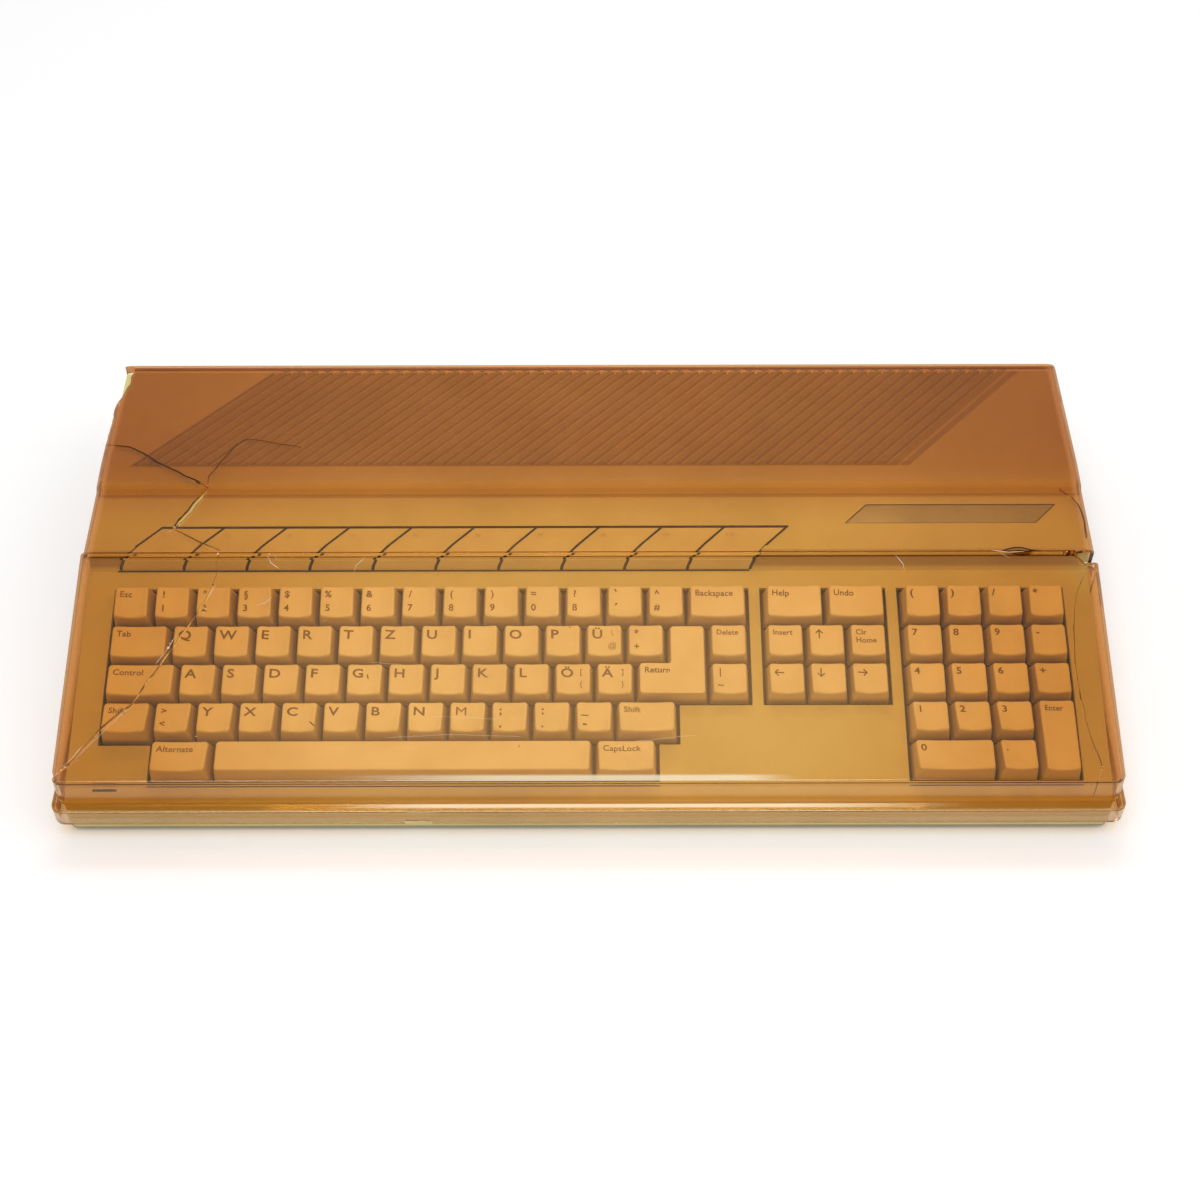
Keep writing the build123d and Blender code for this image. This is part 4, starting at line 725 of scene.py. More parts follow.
cracks = {name: jagged(line, 0.8, k * 1.7, 4.0) for k, (name, (line, _, _)) in enumerate(CRACKS.items())}
for name, line in cracks.items():
    boolean(cover, kerf(name, line, CRACKS[name][1], 24.0, OVER_ALL))
sharpen(cover)
hand_in(cover, m_cover, "dust_cover", "dust_cover")

# dark strips in the cracks: dirt, and painted shade that draws the crack lines dark
for name, line in cracks.items():
    look = CRACKS[name][2]
    if look == "dark":
        ribbon(name + "_dirt_and_shade", line[1:-1], 0.34, 1.7, 0.15, m_dirt_and_shade)
    elif look == "soft":
        ribbon(name + "_dirt_and_shade", line[1:-1], 0.14, 1.6, 0.9, m_dirt_and_shade)
    elif look == "light":
        ribbon(name + "_dirt_and_shade", line[1:9], 0.12, 1.6, 0.9, m_dirt_and_shade)
        ribbon(name + "_dust", line[len(line) // 2:-1], 0.07, 0.7, 0.3, m_flake)
    else:
        ribbon(name + "_dirt_and_shade", [(x - 0.95, y) for x, y in line[1:-1]], 0.3, 0.55, 0.1, m_dirt_and_shade)


def flake(k, x, y, size):
    """Splintered bit number k, of a size in mm."""
    z = top_of_cover(y)
    verts = []
    for i in range(6):
        a = i * pi / 3 + k
        r = 0.75 * size * (0.55 + 0.45 * abs(noise.noise(Vector((x, y, i * 0.7)))) * 2)
        verts.append((x + r * cos(a), y + r * sin(a) * 0.7, z - 0.35))
    verts += [(x, y, z + 0.12), (x, y, z - 0.6)]
    return ([Vector(v) * MM for v in verts],
            [f for i in range(6) for f in ((i, (i + 1) % 6, 6), ((i + 1) % 6, i, 7))])


SPLINTERS = (                           # x, y, size
    (-172.9, -7.6, 1.2), (-148.8, -7.9, 1.0), (-176.4, -35.4, 1.1), (-176.8, -37.6, 0.9), (-190.7, -52.6, 1.0),
    (-191.3, -54.6, 1.3), (-189.9, -51.2, 0.8), (-174.8, -97.0, 0.7), (-120.8, -41.4, 0.55), (-231.4, -111.2, 1.1),
    (-233.0, -112.6, 1.2), (-234.6, -114.0, 1.0), (-196.5, 12.0, 0.9), (-183.6, 36.8, 0.8), (-226.5, -108.0, 0.7),
    (227.0, -112.0, 0.8), (226.6, -113.6, 0.6), (36.0, -88.0, 0.5), (-238.0, 64.2, 0.8), (223.0, -7.6, 0.7),
)
gather("splinters", [flake(k, *spot) for k, spot in enumerate(SPLINTERS)], m_flake, "dust_cover")
SCRATCHES = (                           # line, width
    ([(-152.5, -33.8), (-149.0, -32.9), (-145.9, -29.9)], 0.28),
    ([(-149.6, -9.0), (-147.9, -12.4), (-143.6, -15.6)], 0.22), ([(-146.6, -8.8), (-144.2, -11.6)], 0.2),
    ([(-226.0, -106.4), (-214.0, -92.0), (-206.0, -84.0)], 0.08),
    ([(-232.4, -111.0), (-229.0, -107.6), (-224.6, -101.4)], 0.18),
    ([(-188.4, -49.0), (-192.2, -56.6), (-196.6, -63.0)], 0.12),
    ([(-172.6, -24.0), (-174.4, -27.6), (-176.2, -32.0)], 0.2), ([(188.0, -6.9), (196.0, -8.0), (203.0, -7.6)], 0.2),
    ([(143.0, -9.4), (146.0, -13.6), (146.6, -17.4)], 0.2), ([(192.0, -8.6), (196.0, -10.8)], 0.18),
    ([(-104.0, -9.6), (-108.0, -14.0), (-109.0, -18.0)], 0.15), ([(-196.0, 9.8), (-199.6, 8.2)], 0.24),
    ([(-90.0, -98.0), (-62.0, -96.6), (-30.0, -97.6)], 0.05), ([(-70.0, -88.0), (-40.0, -89.4)], 0.04),
    ([(20.0, -100.0), (48.0, -97.0)], 0.05), ([(-100.0, -62.0), (-84.0, -63.4)], 0.04),
)
for k, (line, width) in enumerate(SCRATCHES):
    ribbon(f"scratch_{k}", jagged(line, 0.5, 9.0 + k, 2.5), width, 0.12, -0.02, m_flake)
for name, line, width, taper in (("dark_fleck", [(-99.9, -68.0), (-99.6, -70.0)], 0.7, 0.6),
                                 ("dark_fleck_2", [(-124.6, -90.4), (-122.6, -92.2)], 0.8, 0.5),
                                 ("dark_fleck_3", [(-31.0, -101.6), (-30.6, -102.4)], 0.5, 0.6),
                                 ("dark_fleck_4", [(-8.6, -45.0), (-8.3, -45.6)], 0.45, 0.6)):
    ribbon(name, line, width, 0.15, -0.05, m_dirt_and_shade, taper)
ribbon("ridge_dirt_and_shade", jagged([(194.0, -3.9), (199.0, -2.2), (203.0, -2.0), (207.4, -3.6), (212.0, -4.4)],
                            0.3, 4.0, 1.6), 0.7, 0.4, -0.02, m_dirt_and_shade)

# ---------------------------------------------------------------- key caps
SKIRT_N, STEM_N = -2.5, -8.2            # lower ends of skirts and stems, below the deck
STEM_HALF, CAP_WALL = 2.5, 1.2
CAP_GAP = 0.425                         # from the cell's edge to the foot of the cap
TOP_IN_X, TOP_IN_S = 2.4, 2.525         # and to the edge of its top
TOP_D = 14.0                            # depth of a top that is one row deep
CEILING = 2.4                           # hollow below the top
FOOT_R, EDGE_R, HOLLOW_R = 1.3, 1.7, 0.8


def share(n, top):
    """How far up from foot to top rectangle, which the straight sides reach 4 mm above the top."""
    return (n - SKIRT_N) / (top + 4.0 - SKIRT_N)


def stem(x, s, top_n):
    verts = [deck(x + dx, s + ds, n) for n in (STEM_N, top_n)
             for dx, ds in ((-STEM_HALF, -STEM_HALF), (STEM_HALF, -STEM_HALF),
                            (STEM_HALF, STEM_HALF), (-STEM_HALF, STEM_HALF))]
    return verts, [(0, 3, 2, 1), (4, 5, 6, 7)] + loops(4, 2)


def hollow_faces(m, o):
    """Rim, inner walls and ceiling of a cap with m points to a ring, whose two inner rings start at vert o."""
    walls = [f for i in range(m) for f in ((i, o + i, o + (i + 1) % m, (i + 1) % m),
                                           (o + i, o + m + i, o + m + (i + 1) % m, o + (i + 1) % m))]
    return walls + [tuple(o + m + i for i in range(m))]


def quarter_turn(fillet):
    """Drop below the top and inset from the side, along the rounded upper edge."""
    for k in range(5):
        a = radians(90.0 * k / 4)
        yield fillet * (1 - sin(a)), fillet * (1 - cos(a))


class Key:
    """One key cap: cell rectangle on the deck, height and tilt of its top, and the dish."""

    def __init__(self, u0, u1, row, last_row=None, dish=1.15, stems=None):
        last = row if last_row is None else last_row
        self.x0, self.x1 = ux(u0), ux(u1)
        s0, s1 = rs(last) - U / 2, rs(row) + U / 2
        self.xc, self.sc = (self.x0 + self.x1) / 2, (s0 + s1) / 2
        if last == row:
            self.n, tilt = TOP_N[row], TILT[row]
        else:
            self.n, tilt = (TOP_N[row] + TOP_N[last]) / 2, -3.5
        self.slope = tan(radians(tilt))
        self.hw, self.hd = (self.x1 - self.x0) / 2 - TOP_IN_X, (s1 - s0 - U + TOP_D) / 2
        self.foot_w, self.foot_d = (self.x1 - self.x0) / 2 - CAP_GAP, (s1 - s0) / 2 - CAP_GAP
        self.dish = dish
        self.stems = stems or [(self.xc, self.sc)]

    def top(self, u, v):
        """Height of the top face at local (u, v), in mm over the deck."""
        k = min(abs(u) / self.hw, 1.0)
        return self.n + v * self.slope - self.dish * (1 - k * k)

    def half(self, n):
        """Half sizes of the outside at height n."""
        t = share(n, self.n)
        return self.foot_w + (self.hw - self.foot_w) * t, self.foot_d + (self.hd - self.foot_d) * t


def cap_ring(hx, hy, r, nx, ny):
    """Rounded rectangle as local (u, v) points, with extra points along its sides."""
    out = []
    corner = 4
    for cx, cy, a0, m, end in ((hx - r, hy - r, 0, nx, (r - hx, hy)), (r - hx, hy - r, 90, ny, (-hx, r - hy)),
                               (r - hx, r - hy, 180, nx, (hx - r, -hy)), (hx - r, r - hy, 270, ny, (hx, hy - r))):
        for k in range(corner + 1):
            a = radians(a0 + 90.0 * k / corner)
            out.append((cx + r * cos(a), cy + r * sin(a)))
        sx, sy = out[-1]
        out += [(sx + (end[0] - sx) * k / m, sy + (end[1] - sy) * k / m) for k in range(1, m)]
    return out


def cap_mesh(key):
    """Verts and faces of a hollow cap with soft edges, dished top and stems."""
    nx, ny = max(8, int((key.x1 - key.x0) / 2.4)), 4
    # outside, from the skirt over the rounded edge to the dished top
    rings = [[(u, v, SKIRT_N) for u, v in cap_ring(key.foot_w, key.foot_d, FOOT_R, nx, ny)]]
    hx, hy = key.half(key.n - 0.6)
    for drop, inset in quarter_turn(0.95):
        ring = []
        for u, v in cap_ring(hx, hy, EDGE_R, nx, ny):
            n = key.top(u, v) - drop
            fx, fy = key.half(n)
            ring.append((u * (fx - inset) / hx, v * (fy - inset) / hy, n))
        rings.append(ring)
    last = rings[-1]
    for t in (0.86, 0.66, 0.42, 0.2):
        rings.append([(u * t, v * t, key.top(u * t, v * t)) for u, v, n in last])
    m = len(last)
    verts = [p for ring in rings for p in ring] + [(0, 0, key.top(0, 0))]
    inmost, middle = (len(rings) - 1) * m, len(rings) * m
    faces = loops(m, len(rings)) + [(inmost + i, inmost + (i + 1) % m, middle) for i in range(m)]
    # inside: rim, walls and ceiling
    o = len(verts)
    ceiling = key.n - CEILING
    hx, hy = key.half(ceiling)
    verts += [(u, v, SKIRT_N)
              for u, v in cap_ring(key.foot_w - CAP_WALL, key.foot_d - CAP_WALL, HOLLOW_R, nx, ny)]
    verts += [(u, v, ceiling + v * key.slope) for u, v in cap_ring(hx - CAP_WALL, hy - CAP_WALL, HOLLOW_R, nx, ny)]
    cap = [deck(key.xc + u, key.sc + v, n) for u, v, n in verts], faces + hollow_faces(m, o)
    return merge([cap] + [stem(x, s, key.n - 1.9 - key.dish) for x, s in key.stems])


def run(first, count, row):
    return [Key(first + i, first + i + 1, row) for i in range(count)]


KEYS = {
    "escape_key": [Key(0, 1, 0)], "backspace_key": [Key(14, 15.5, 0)], "tab_key": [Key(0, 1.5, 1)],
    "control_key": [Key(0, 1.75, 2)], "left_shift_key": [Key(0, 1.25, 3)], "right_shift_key": [Key(12.25, 13.75, 3)],
    "alternate_key": [Key(1.25, 2.75, 4)], "caps_lock_key": [Key(11.75, 13.25, 4)],
    "space_bar": [Key(2.75, 11.75, 4, dish=0.0, stems=[(ux(7.25 + d), rs(4)) for d in (-3.15, 0, 3.15)])],
    "number_row_keys": run(1, 13, 0),
    "upper_letter_keys": run(1.5, 12, 1) + [Key(14.5, 15.5, 1)],
    "home_letter_keys": run(1.75, 11, 2) + [Key(14.5, 15.5, 2)],
    "lower_letter_keys": run(1.25, 11, 3),
    "cursor_keys": [Key(CUR, CUR + 1.5, 0), Key(CUR + 1.5, CUR + 3, 0)] + run(CUR, 3, 1) + run(CUR, 3, 2),
    "keypad_keys": [k for r in range(4) for k in run(PAD, 3 if r == 3 else 4, r)]
    + [Key(PAD, PAD + 2, 4), Key(PAD + 2, PAD + 3, 4), Key(PAD + 3, PAD + 4, 3, 4)],
}
for body, keys in KEYS.items():
    obj = sharpen(mesh_object(body + "_caps", *merge(cap_mesh(key) for key in keys)), 40)
    hand_in(obj, m_key, body, body)

# the return key: one cap over two rows, wider at its lower part
RET_X, RET_S, RET_N = ux(14.0), rs(2) + U / 2, 7.35


def return_height(x, s):
    k = min(abs(x - RET_X) / 12.0, 1.0)
    return RET_N + (s - RET_S) * tan(radians(-3.0)) - 0.9 * (1 - k * k)


def return_outline(dx, ds, r):
    """L-shaped outline, anticlockwise from the lower left, with rounded corners."""
    xa, xb, xc = ux(12.75) + dx, ux(13.5) + dx, ux(14.5) - dx
    lo, mid, hi = rs(2) - U / 2 + ds, rs(2) + U / 2 - ds, rs(1) + U / 2 - ds
    pts = [(xa, lo), (xc, lo), (xc, hi), (xb, hi), (xb, mid), (xa, mid)]
    return round_poly(pts, [r, r, r, r, r * 0.8, r], 4)


def return_inset(n):
    t = share(n, RET_N)
    return CAP_GAP + (TOP_IN_X - CAP_GAP) * t, CAP_GAP + (TOP_IN_S - CAP_GAP) * t


def return_mesh():
    rings = [[(x, s, SKIRT_N) for x, s in return_outline(*return_inset(SKIRT_N), FOOT_R)]]
    dx, ds = return_inset(RET_N - 0.6)
    for drop, inset in quarter_turn(0.75):
        rings.append([(x, s, return_height(x, s) - drop)
                      for x, s in return_outline(dx + inset, ds + inset, EDGE_R - inset)])
    m = len(rings[0])
    verts = [p for ring in rings for p in ring]
    o = len(verts)
    faces = loops(m, len(rings)) + [tuple(range(o - m, o))]
    ceiling = RET_N - CEILING
    dx, ds = return_inset(ceiling)
    verts += [(x, s, SKIRT_N) for x, s in return_outline(CAP_GAP + CAP_WALL, CAP_GAP + CAP_WALL, HOLLOW_R)]
    verts += [(x, s, ceiling + (s - RET_S) * tan(radians(-3.0)))
              for x, s in return_outline(dx + CAP_WALL, ds + CAP_WALL, HOLLOW_R)]
    return merge([([deck(*p) for p in verts], faces + hollow_faces(m, o)), stem(RET_X, RET_S, RET_N - 2.8)])


hand_in(sharpen(mesh_object("return_key_cap", *return_mesh()), 40), m_key, "return_key", "return_key")


# ---------------------------------------------------------------- case, function keys and small CAD pieces
def softened(node, name, width, mat, angle=28, segments=2, more=None):
    """A copy of a CAD node with its sharp moulded edges rounded; more(edge) gives an edge its own width in mm."""
    widest = 2.0
    src = frame["nodes"][node]
    obj = link(bpy.data.objects.new(name, src.data.copy()))
    bm = bmesh.new()
    bm.from_mesh(obj.data)
    bmesh.ops.remove_doubles(bm, verts=bm.verts, dist=2e-6)
    bmesh.ops.dissolve_limit(bm, angle_limit=radians(0.6), verts=bm.verts, edges=bm.edges)
    for f in bm.faces:
        f.smooth = True
    layer = bm.edges.layers.float.new("bevel_weight_edge")
    for e in bm.edges:
        if len(e.link_faces) == 2 and e.calc_face_angle(0.0) > radians(angle):
            own = more(e) if more else None
            e[layer] = (width if own is None else own) / widest
    bm.to_mesh(obj.data)
    bm.free()
    obj.data.materials.clear()
    b = obj.modifiers.new("bevel", "BEVEL")
    b.width = widest * MM
    b.segments = segments
    b.limit_method = "WEIGHT"
    b.harden_normals = False
    b.use_clamp_overlap = True
    sharpen(apply_modifiers(obj), 40)
    return hand_in(obj, mat, src["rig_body"], node)


def rib_edge(e):
    """Wide rounding along the upper edges of the ribs, and little in the bottom of the grooves."""
    a, b = e.verts[0].co / MM, e.verts[1].co / MM
    y, z = (a.y + b.y) / 2, (a.z + b.z) / 2
    if y < 50.6 or z < 57.0 or abs(b.y - a.y) < 8:
        return None
    hump = 60.6 + (59.2 - 60.6) * (y - 50.0) / 68.0
    return 1.25 if hump - z < 0.4 else 0.22 if hump - z < 2.4 else None


softened("top_case", "upper_case", 0.45, m_case, segments=3, more=rib_edge)
softened("bottom_case", "lower_case", 0.5, m_case)
for i in range(1, 11):
    softened(f"function_key_{i}", f"function_key_cap_{i}", 0.3, m_fkey, angle=20)

# CAD nodes that are shown as they are, with materials of their own
SHOWN = (
    (m_frame, "keyboard_frame keyboard_spacers"), (m_rubber, "rubber_feet"), (m_screw, "case_screws"),
    (m_badge, "badge_plate"), (m_lamp, "power_led"), (m_sheet, "contact_sheet"),
    (m_board, "keyboard_board main_board"), (m_steel, "lower_shield upper_shield"),
    (m_chip, "processor custom_chips memory_chips program_chips"),
    (m_dark, "keyboard_link cartridge_slot power_switch power_rocker reset_switch reset_button power_socket"
             " midi_out_socket midi_in_socket monitor_socket floppy_socket"),
    (m_nickel, "joystick_ports printer_port modem_port hard_disk_port"),
)
for mat, nodes in SHOWN:
    for node in nodes.split():
        me = frame["nodes"][node].data
        me.materials.clear()
        me.materials.append(mat)

# ---------------------------------------------------------------- gaps round the function keys, badge, rib ends
FKEY_X, FKEY_Y, FKEY_PITCH, FKEY_SLANT = -202.4, 12.7, 29.65, 0.93
BAND_Z = 57.03                          # upper face of the level band at its front
# y and z along the gaps between the keys, and along the fine line over them
GAP_LINES = ((12.6, 57.33), (2.0, 57.03), (-1.9, 56.25), (-4.6, 54.05), (-6.2, 50.95), (-6.9, 48.4))
TRIM = ((12.9, 57.49), (1.6, 57.18), (-2.2, 56.28), (-4.94, 54.06), (-6.36, 51.33), (-6.87, 48.8))


def strip(rings, depth=3.0, back=0.25):
    """Solid band below a row of lines from left to right: (left, right, y, z)."""
    verts = [Vector(q) * MM for left, right, y, z in rings
             for q in ((left, y, z), (right, y, z), (right, y - back, z - depth), (left, y - back, z - depth))]
    o = 4 * len(rings)
    return verts, [(0, 1, 2, 3), (o - 1, o - 2, o - 3, o - 4)] + [
        (k + i, k + 4 + i, k + 4 + (i + 1) % 4, k + (i + 1) % 4) for k in range(0, o - 4, 4) for i in range(4)]


def gap_shade():
    """Black strips that paint the shade in the gaps between the function keys and along their opening."""
    parts = []
    for i in range(11):
        for places, lo, hi, thin in ((GAP_LINES, -0.5 if i else 0.06, 0.5 if i < 10 else -0.06, ()),
                                     (TRIM, -0.72, 0.72, (0.1, 0.0))):
            rings = []
            for y, z in places:
                x = FKEY_X + i * FKEY_PITCH - FKEY_SLANT * (FKEY_Y - y)
                rings.append((x + lo, x + hi, y, z))
            parts.append(strip(rings, *thin))
    left, right = FKEY_X, FKEY_X + 10 * FKEY_PITCH
    low = FKEY_X - FKEY_SLANT * (FKEY_Y + 7.4)      # front left corner of the opening
    low_right = low + 10 * FKEY_PITCH
    return parts + [
        strip([(left + 0.5, right - 0.5, 12.68, 57.3), (left, right - 1.0, 12.1, 57.3)]),
        strip([(low + 1.0, low_right - 0.2, -6.95, 48.2), (low + 1.0, low_right - 0.5, -7.3, 48.0)]),
        strip([(left - 0.2, right + 0.7, 13.4, 57.5), (left - 1.3, right - 0.4, 12.2, 57.47)], 0.1, 0.0),
        strip([(low - 0.4, low_right + 0.4, -6.95, 49.35), (low - 1.1, low_right - 0.3, -7.35, 48.85)], 0.2, 0.0)]


gather("function_key_gap_shade", gap_shade(), m_gap_shade, "base")


def stroke(ax, ay, bx, by, width):
    """Flat stroke between two points of the level band, which rises to the rear."""
    length = hypot(bx - ax, by - ay)
    px, py = -(by - ay) / length * width / 2, (bx - ax) / length * width / 2
    quad = ((ax + px, ay + py), (ax - px, ay - py), (bx - px, by - py), (bx + px, by + py))
    return [Vector((x, y, h + (y + 1.2) / 36.0)) * MM
            for h in (BAND_Z - 0.04, BAND_Z + 0.04) for x, y in quad], BOX_FACES


BADGE_X, BADGE_Y, BADGE_W, BADGE_D = 132.6, 26.3, 90.5, 11.6
badge_end, badge_low, badge_shift = BADGE_X + BADGE_W, BADGE_Y - BADGE_D, BADGE_D * FKEY_SLANT
gather("badge_outline", [stroke(BADGE_X, BADGE_Y, badge_end, BADGE_Y, 0.45),
                         stroke(BADGE_X, BADGE_Y, BADGE_X - badge_shift, badge_low, 0.4),
                         stroke(badge_end, BADGE_Y, badge_end - badge_shift, badge_low, 0.4)],
       m_frame, "base")


def dome(x, y, z, rx, ry, rz):
    """Half an ellipsoid with a flat base."""
    around, rings = 10, 3
    verts = []
    for k in range(rings):
        a = radians(90.0 * k / rings)
        for i in range(around):
            turn = 2 * pi * i / around
            verts.append(Vector((x + rx * cos(a) * cos(turn), y + ry * cos(a) * sin(turn), z + rz * sin(a))) * MM)
    verts.append(Vector((x, y, z + rz)) * MM)
    o = (rings - 1) * around
    return verts, ([tuple(range(around))[::-1]] + loops(around, rings)
                   + [(o + i, o + (i + 1) % around, o + around) for i in range(around)])


RIB_FIRST, RIB_PITCH, RIB_ENDS = -222.0, 7.15, 52
first_end = RIB_FIRST + 5.2 + FKEY_SLANT * 67.2
gather("rib_ends", [dome(first_end + RIB_PITCH * k, 118.1, 57.4, 3.0, 2.2, 2.0) for k in range(RIB_ENDS)],
       m_rib_shaded, "base", True)


# ---------------------------------------------------------------- contacts in the sockets
PIN_R = 0.55


def rod(x, z, y0, y1):
    """Round pin along Y."""
    verts = [Vector((x + PIN_R * cos(pi * i / 4), y, z + PIN_R * sin(pi * i / 4))) * MM
             for y in (y0, y1) for i in range(8)]
    return verts, [tuple(range(8)), tuple(range(8, 16))[::-1]] + [
        (i, 8 + i, 8 + (i + 1) % 8, (i + 1) % 8) for i in range(8)]


SOCKET_Z, PORT_Z, PIN_PITCH = 21.1, 18.6, 2.76
pins = []
# x, number of pins, where their arc starts and how far it goes, in degrees
for x, count, first, sweep in ((154, 7, 225, 270), (126, 5, 180, 180), (101, 5, 180, 180), (72, 12, 200, 320),
                               (-88, 13, 200, 320)):
    for k in range(count):
        a = radians(first + sweep * k / (count - 1))
        pins.append(rod(x + 3.4 * cos(a), SOCKET_Z + 3.4 * sin(a), 110.7, 116.4))
hand_in(sharpen(mesh_object("socket_contacts", *merge(pins)), 40), m_pin, "base")


def at_rear(a, d, z):
    return Vector((a, REAR + d, z)) * MM


def at_right(a, d, z):
    return Vector((CASE_HALF + d, a, z)) * MM


port_faces, contacts = [], []
for centre, columns, shell, place in ((24, 13, 39.0, at_rear), (-38, 13, 39.0, at_rear), (-128, 10, 30.0, at_rear),
                                      (52.0, 5, 17.0, at_right), (90.0, 5, 17.0, at_right)):
    wide, narrow, h = shell / 2 - 1.1, shell / 2 - 2.4, 3.2
    quad = ((-narrow, -h), (narrow, -h), (wide, h), (-wide, h))
    port_faces.append(([place(centre + a, d, PORT_Z + b) for d in (-0.1, 0.06) for a, b in quad], BOX_FACES))
    for up, count in ((1.42, columns), (-1.42, columns - 1)):
        for k in range(count):
            a0 = centre + (k - (count - 1) / 2) * PIN_PITCH
            ring = [(a0 + PIN_R * cos(pi * i / 4), PORT_Z + up + PIN_R * sin(pi * i / 4)) for i in range(8)]
            contacts.append(([place(a, d, b) for d in (0.0, 0.1) for a, b in ring],
                             [tuple(range(8))[::-1], tuple(range(8, 16))] + loops(8, 2)))
gather("port_faces", port_faces, m_dark, "base")
gather("port_contacts", contacts, m_pin, "base")

# ---------------------------------------------------------------- legends
INK_T = 0.03                            # half thickness of the print, and its height over the key


def text_mesh(body, size, x, y, align="LEFT", space=1.0, xscale=1.0, bold=0.0):
    """Flat words as a closed thin mesh, cap height about 0.73 of size (mm); x, y is the lower left or centre."""
    cu = bpy.data.curves.new("text", "FONT")
    cu.body = body
    cu.size = size
    cu.align_x = align
    cu.extrude = INK_T
    cu.resolution_u = 3
    cu.space_character = space
    cu.offset = bold * size
    ob = link(bpy.data.objects.new("text", cu))
    bpy.context.view_layer.update()
    me = bpy.data.meshes.new_from_object(ob.evaluated_get(bpy.context.evaluated_depsgraph_get()))
    bpy.data.objects.remove(ob)
    bpy.data.curves.remove(cu)
    bm = bmesh.new()
    bm.from_mesh(me)
    bpy.data.meshes.remove(me)
    bmesh.ops.remove_doubles(bm, verts=bm.verts, dist=1e-5)
    for v in bm.verts:
        v.co.x = v.co.x * xscale + x
        v.co.y += y
    return bm


def line_mesh(a, b, width):
    """Thin drawn stroke between two points, closed mesh."""
    bm = bmesh.new()
    length = hypot(b[0] - a[0], b[1] - a[1])
    dx, dy = (b[0] - a[0]) / length, (b[1] - a[1]) / length
    px, py = -dy * width / 2, dx * width / 2
    ex, ey = dx * width * 0.3, dy * width * 0.3
    quad = ((a[0] - ex + px, a[1] - ey + py), (a[0] - ex - px, a[1] - ey - py),
            (b[0] + ex - px, b[1] + ey - py), (b[0] + ex + px, b[1] + ey + py))
    lo, hi = ([bm.verts.new((x, y, z)) for x, y in quad] for z in (-INK_T, INK_T))
    bm.faces.new(lo[::-1])
    bm.faces.new(hi)
    for i in range(4):
        j = (i + 1) % 4
        bm.faces.new((lo[i], lo[j], hi[j], hi[i]))
    return bm


def cut_across(bm, step=1.2):
    """Splits a flat word along X so that it can follow a dished top."""
    xs = [v.co.x for v in bm.verts]
    x = min(xs) + step
    while x < max(xs):
        geom = bm.verts[:] + bm.edges[:] + bm.faces[:]
        bmesh.ops.bisect_plane(bm, geom=geom, plane_co=(x, 0, 0), plane_no=(1, 0, 0))
        x += step


class Ink:
    """Collects the legends that ride on one body."""

    def __init__(self):
        self.verts, self.faces = [], []

    def add(self, bm, place):
        cut_across(bm)
        o = len(self.verts)
        bm.verts.index_update()
        self.verts += [place(v.co.x, v.co.y, v.co.z) for v in bm.verts]
        self.faces += [tuple(v.index + o for v in f.verts) for f in bm.faces]
        bm.free()

    def make(self, name, body, mat):
        hand_in(mesh_object(name, self.verts, self.faces, smooth=False), mat, body)


def on_key(key):
    return lambda u, v, z: deck(key.xc + u, key.sc + v, key.top(u, v) + INK_T + z)


BIG, WORD, SMALL = 6.3, 4.1, 4.6
CAP_HEIGHT = 0.73                       # of capitals, as a share of the size


def corner(key):
    """Left edge and upper line of the printed area, local to the key."""
    return -key.hw + 1.3, key.hd - 1.3


def letter(ink, key, text, size=BIG):
    x, y = corner(key)
    bold = 0.0 if text == "M" else 0.022
    ink.add(text_mesh(text, size, x, y - size * CAP_HEIGHT, xscale=1.15, bold=bold), on_key(key))


def pair(ink, key, upper, lower):
    x, y = corner(key)
    for text, cy in ((upper, y - 1.9), (lower, y - 8.7)):
        size = SMALL * (1.4 if text in ";,:.`´_-" else 1.0)
        ink.add(text_mesh(text, size, x + 1.6, cy - size * 0.36, "CENTER", bold=0.02), on_key(key))


def third_level(ink, key, marks):
    """Two small marks at the right of a letter key."""
    y = corner(key)[1]
    for mark, drop in zip(marks, (1.9, 8.2)):
        ink.add(text_mesh(mark, 3.9, key.hw - 3.6, y - drop - 1.4, "CENTER"), on_key(key))


def words(ink, key, *lines, size=WORD):
    x, y = corner(key)
    for i, text in enumerate(lines):
        low = y - 0.2 - size * CAP_HEIGHT - i * 4.1
        ink.add(text_mesh(text, size, x + 0.2, low, space=1.04, bold=0.016), on_key(key))


def arrow(ink, key, dx, dy):
    x, y = corner(key)
    cx, cy = x + 2.5, y - 2.6
    tip = (cx + dx * 2.0, cy + dy * 2.0)
    starts = [(cx - dx * 2.0, cy - dy * 2.0)]
    starts += [(tip[0] - dx * 1.5 + side * dy * 1.5, tip[1] - dy * 1.5 + side * dx * 1.5) for side in (-1, 1)]
    for start in starts:
        ink.add(line_mesh(start, tip, 0.62), on_key(key))


inks = {name: Ink() for name in [*KEYS, "return_key"]}


def row(body):
    return inks[body], KEYS[body]


for body, text in (("escape_key", "Esc"), ("backspace_key", "Backspace"), ("tab_key", "Tab"),
                   ("control_key", "Control"), ("left_shift_key", "Shift"), ("right_shift_key", "Shift"),
                   ("alternate_key", "Alternate"), ("caps_lock_key", "CapsLock")):
    words(inks[body], KEYS[body][0], text)

ink, keys = row("number_row_keys")
for key, upper, lower in zip(keys, "!\"§$%&/()=?`^", "1234567890ß´#"):
    pair(ink, key, upper, lower)

ink, keys = row("upper_letter_keys")
for key, text in zip(keys, "QWERTZUIOPÜ"):
    letter(ink, key, text)
pair(ink, keys[11], "*", "+")
words(ink, keys[12], "Delete", size=3.6)
third_level(ink, keys[10], "\\@")

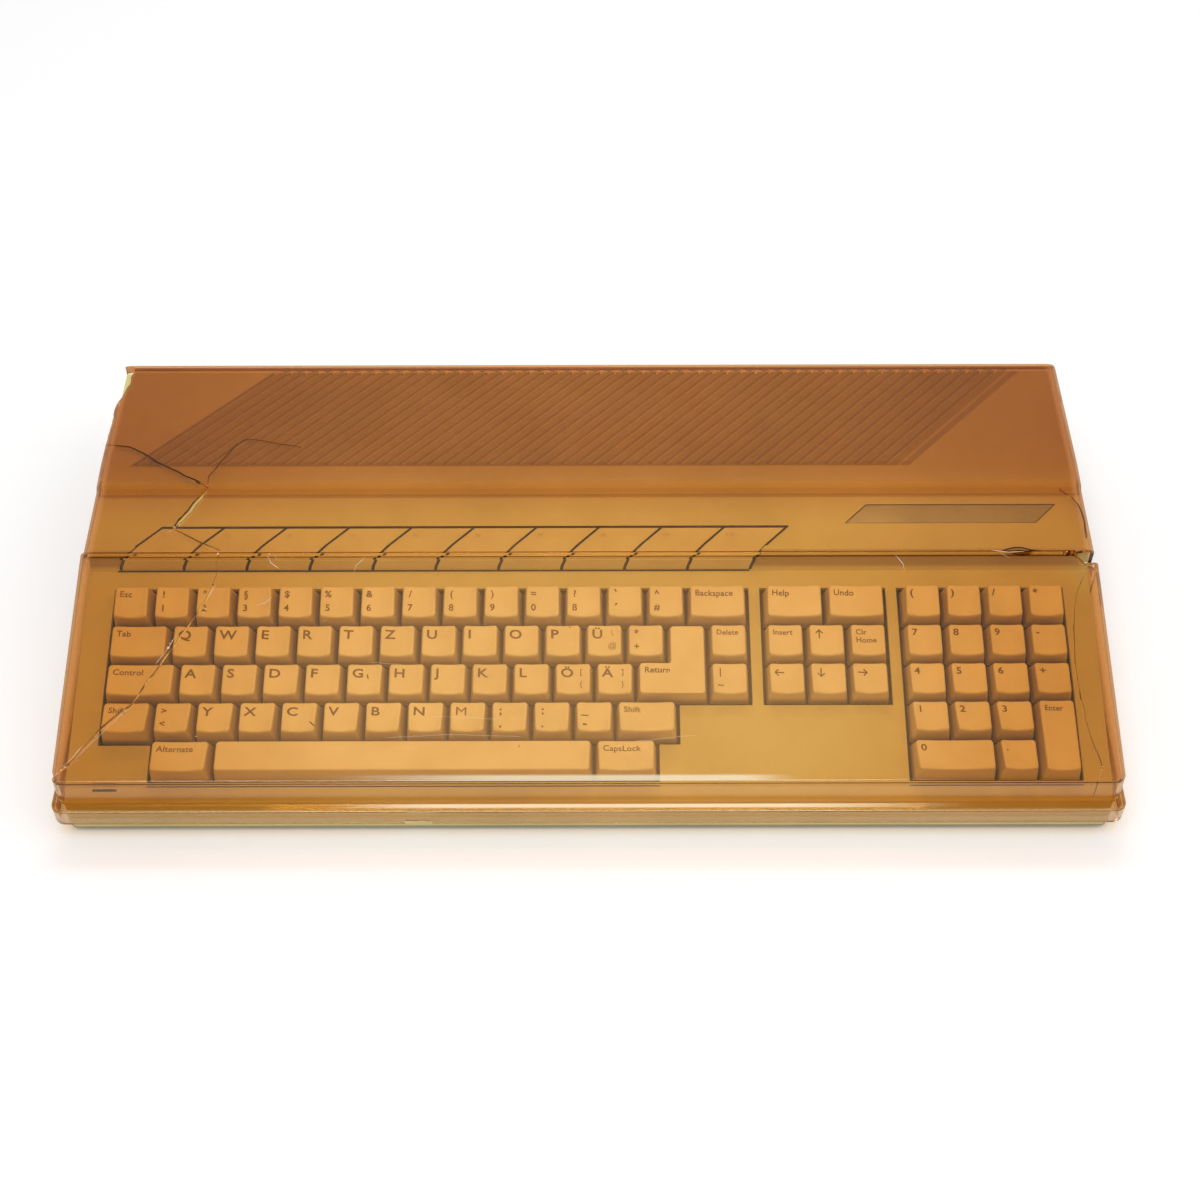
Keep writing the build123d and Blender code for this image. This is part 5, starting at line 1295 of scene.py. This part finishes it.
ink, keys = row("home_letter_keys")
for key, text in zip(keys, "ASDFGHJKLÖÄ"):
    letter(ink, key, text)
pair(ink, keys[11], "|", "~")
third_level(ink, keys[9], "[{")
third_level(ink, keys[10], "]}")

ink, keys = row("lower_letter_keys")
pair(ink, keys[0], ">", "<")
for key, text in zip(keys[1:8], "YXCVBNM"):
    letter(ink, key, text)
for key, upper, lower in zip(keys[8:], ";:_", ",.-"):
    pair(ink, key, upper, lower)

ink, keys = row("cursor_keys")
words(ink, keys[0], "Help")
words(ink, keys[1], "Undo")
words(ink, keys[2], "Insert", size=3.7)
arrow(ink, keys[3], 0, 1)
words(ink, keys[4], "Clr", "Home", size=3.7)
for key, dx, dy in zip(keys[5:], (-1, 0, 1), (0, -1, 0)):
    arrow(ink, key, dx, dy)

ink, keys = row("keypad_keys")
for key, text in zip(keys, "()/*789-456+1230."):
    letter(ink, key, text, 4.7)
words(ink, keys[17], "Enter", size=3.7)


def on_return(u, v, z):
    return deck(RET_X + u, RET_S + v, return_height(RET_X + u, RET_S + v) + INK_T + z)


inks["return_key"].add(text_mesh("Return", WORD, ux(12.75) - RET_X + 3.9, -3.9 - WORD * CAP_HEIGHT,
                                 space=1.04, bold=0.016), on_return)
for name, ink in inks.items():
    if ink.verts:
        ink.make(name + "_legends", name, m_ink)


def on_function_key(i):
    left, low = FKEY_X + i * FKEY_PITCH + 0.4, 6.6
    return lambda u, v, z: Vector((left + u, low + v, 57.07 + (low + v + 1.2) / 36.0 + z)) * MM


for i in range(10):
    ink = Ink()
    ink.add(text_mesh(f"F{i + 1}", 2.7, 0, 0, bold=0.02), on_function_key(i))
    ink.make(f"function_key_{i + 1}_legend", f"function_key_{i + 1}", m_faint)

# ---------------------------------------------------------------- floor, world and lamps
n = Nodes("white_floor")
path = n.add("ShaderNodeLightPath")
seen = n.most(*(path.outputs[f"Is {kind} Ray"] for kind in ("Camera", "Glossy", "Transmission")))
glow = n.add("ShaderNodeEmission", Color=(1.0, 1.0, 1.0, 1.0))
n.link(n.times(seen, 0.09), glow.inputs["Strength"])
both = n.add("ShaderNodeAddShader")
n.link(n.diffuse((0.93, 0.93, 0.93)).outputs[0], both.inputs[0])
n.link(glow.outputs[0], both.inputs[1])
floor = mesh_object("floor", [(-4, -4, 0), (4, -4, 0), (4, 4, 0), (-4, 4, 0)], [(0, 1, 2, 3)], smooth=False)
floor.data.materials.append(n.surface(both))

world = bpy.data.worlds.new("world")
bpy.context.scene.world = world
world.use_nodes = True
background = world.node_tree.nodes["Background"]
background.inputs["Color"].default_value = (1.0, 1.0, 1.0, 1.0)
background.inputs["Strength"].default_value = 0.47


def lamp(name, place, target, size, power):
    data = bpy.data.lights.new(name, "AREA")
    data.shape = "RECTANGLE"
    data.size, data.size_y = size
    data.energy = power
    obj = link(bpy.data.objects.new(name, data))
    obj.location = place
    obj.rotation_euler = (Vector(target) - Vector(place)).to_track_quat("-Z", "Y").to_euler()
    return obj


lamp("key_lamp", (-0.15, -0.6, 1.9), (0, 0, 0), (1.2, 0.8), 14.0)
lamp("side_lamp", (1.1, -0.3, 1.5), (0, 0, 0), (0.9, 0.9), 4.0)
lamp("rear_strip", (0.0, 0.97, 1.68), (0, -0.12, 0.02), (0.95, 0.26), 8.0).visible_glossy = False
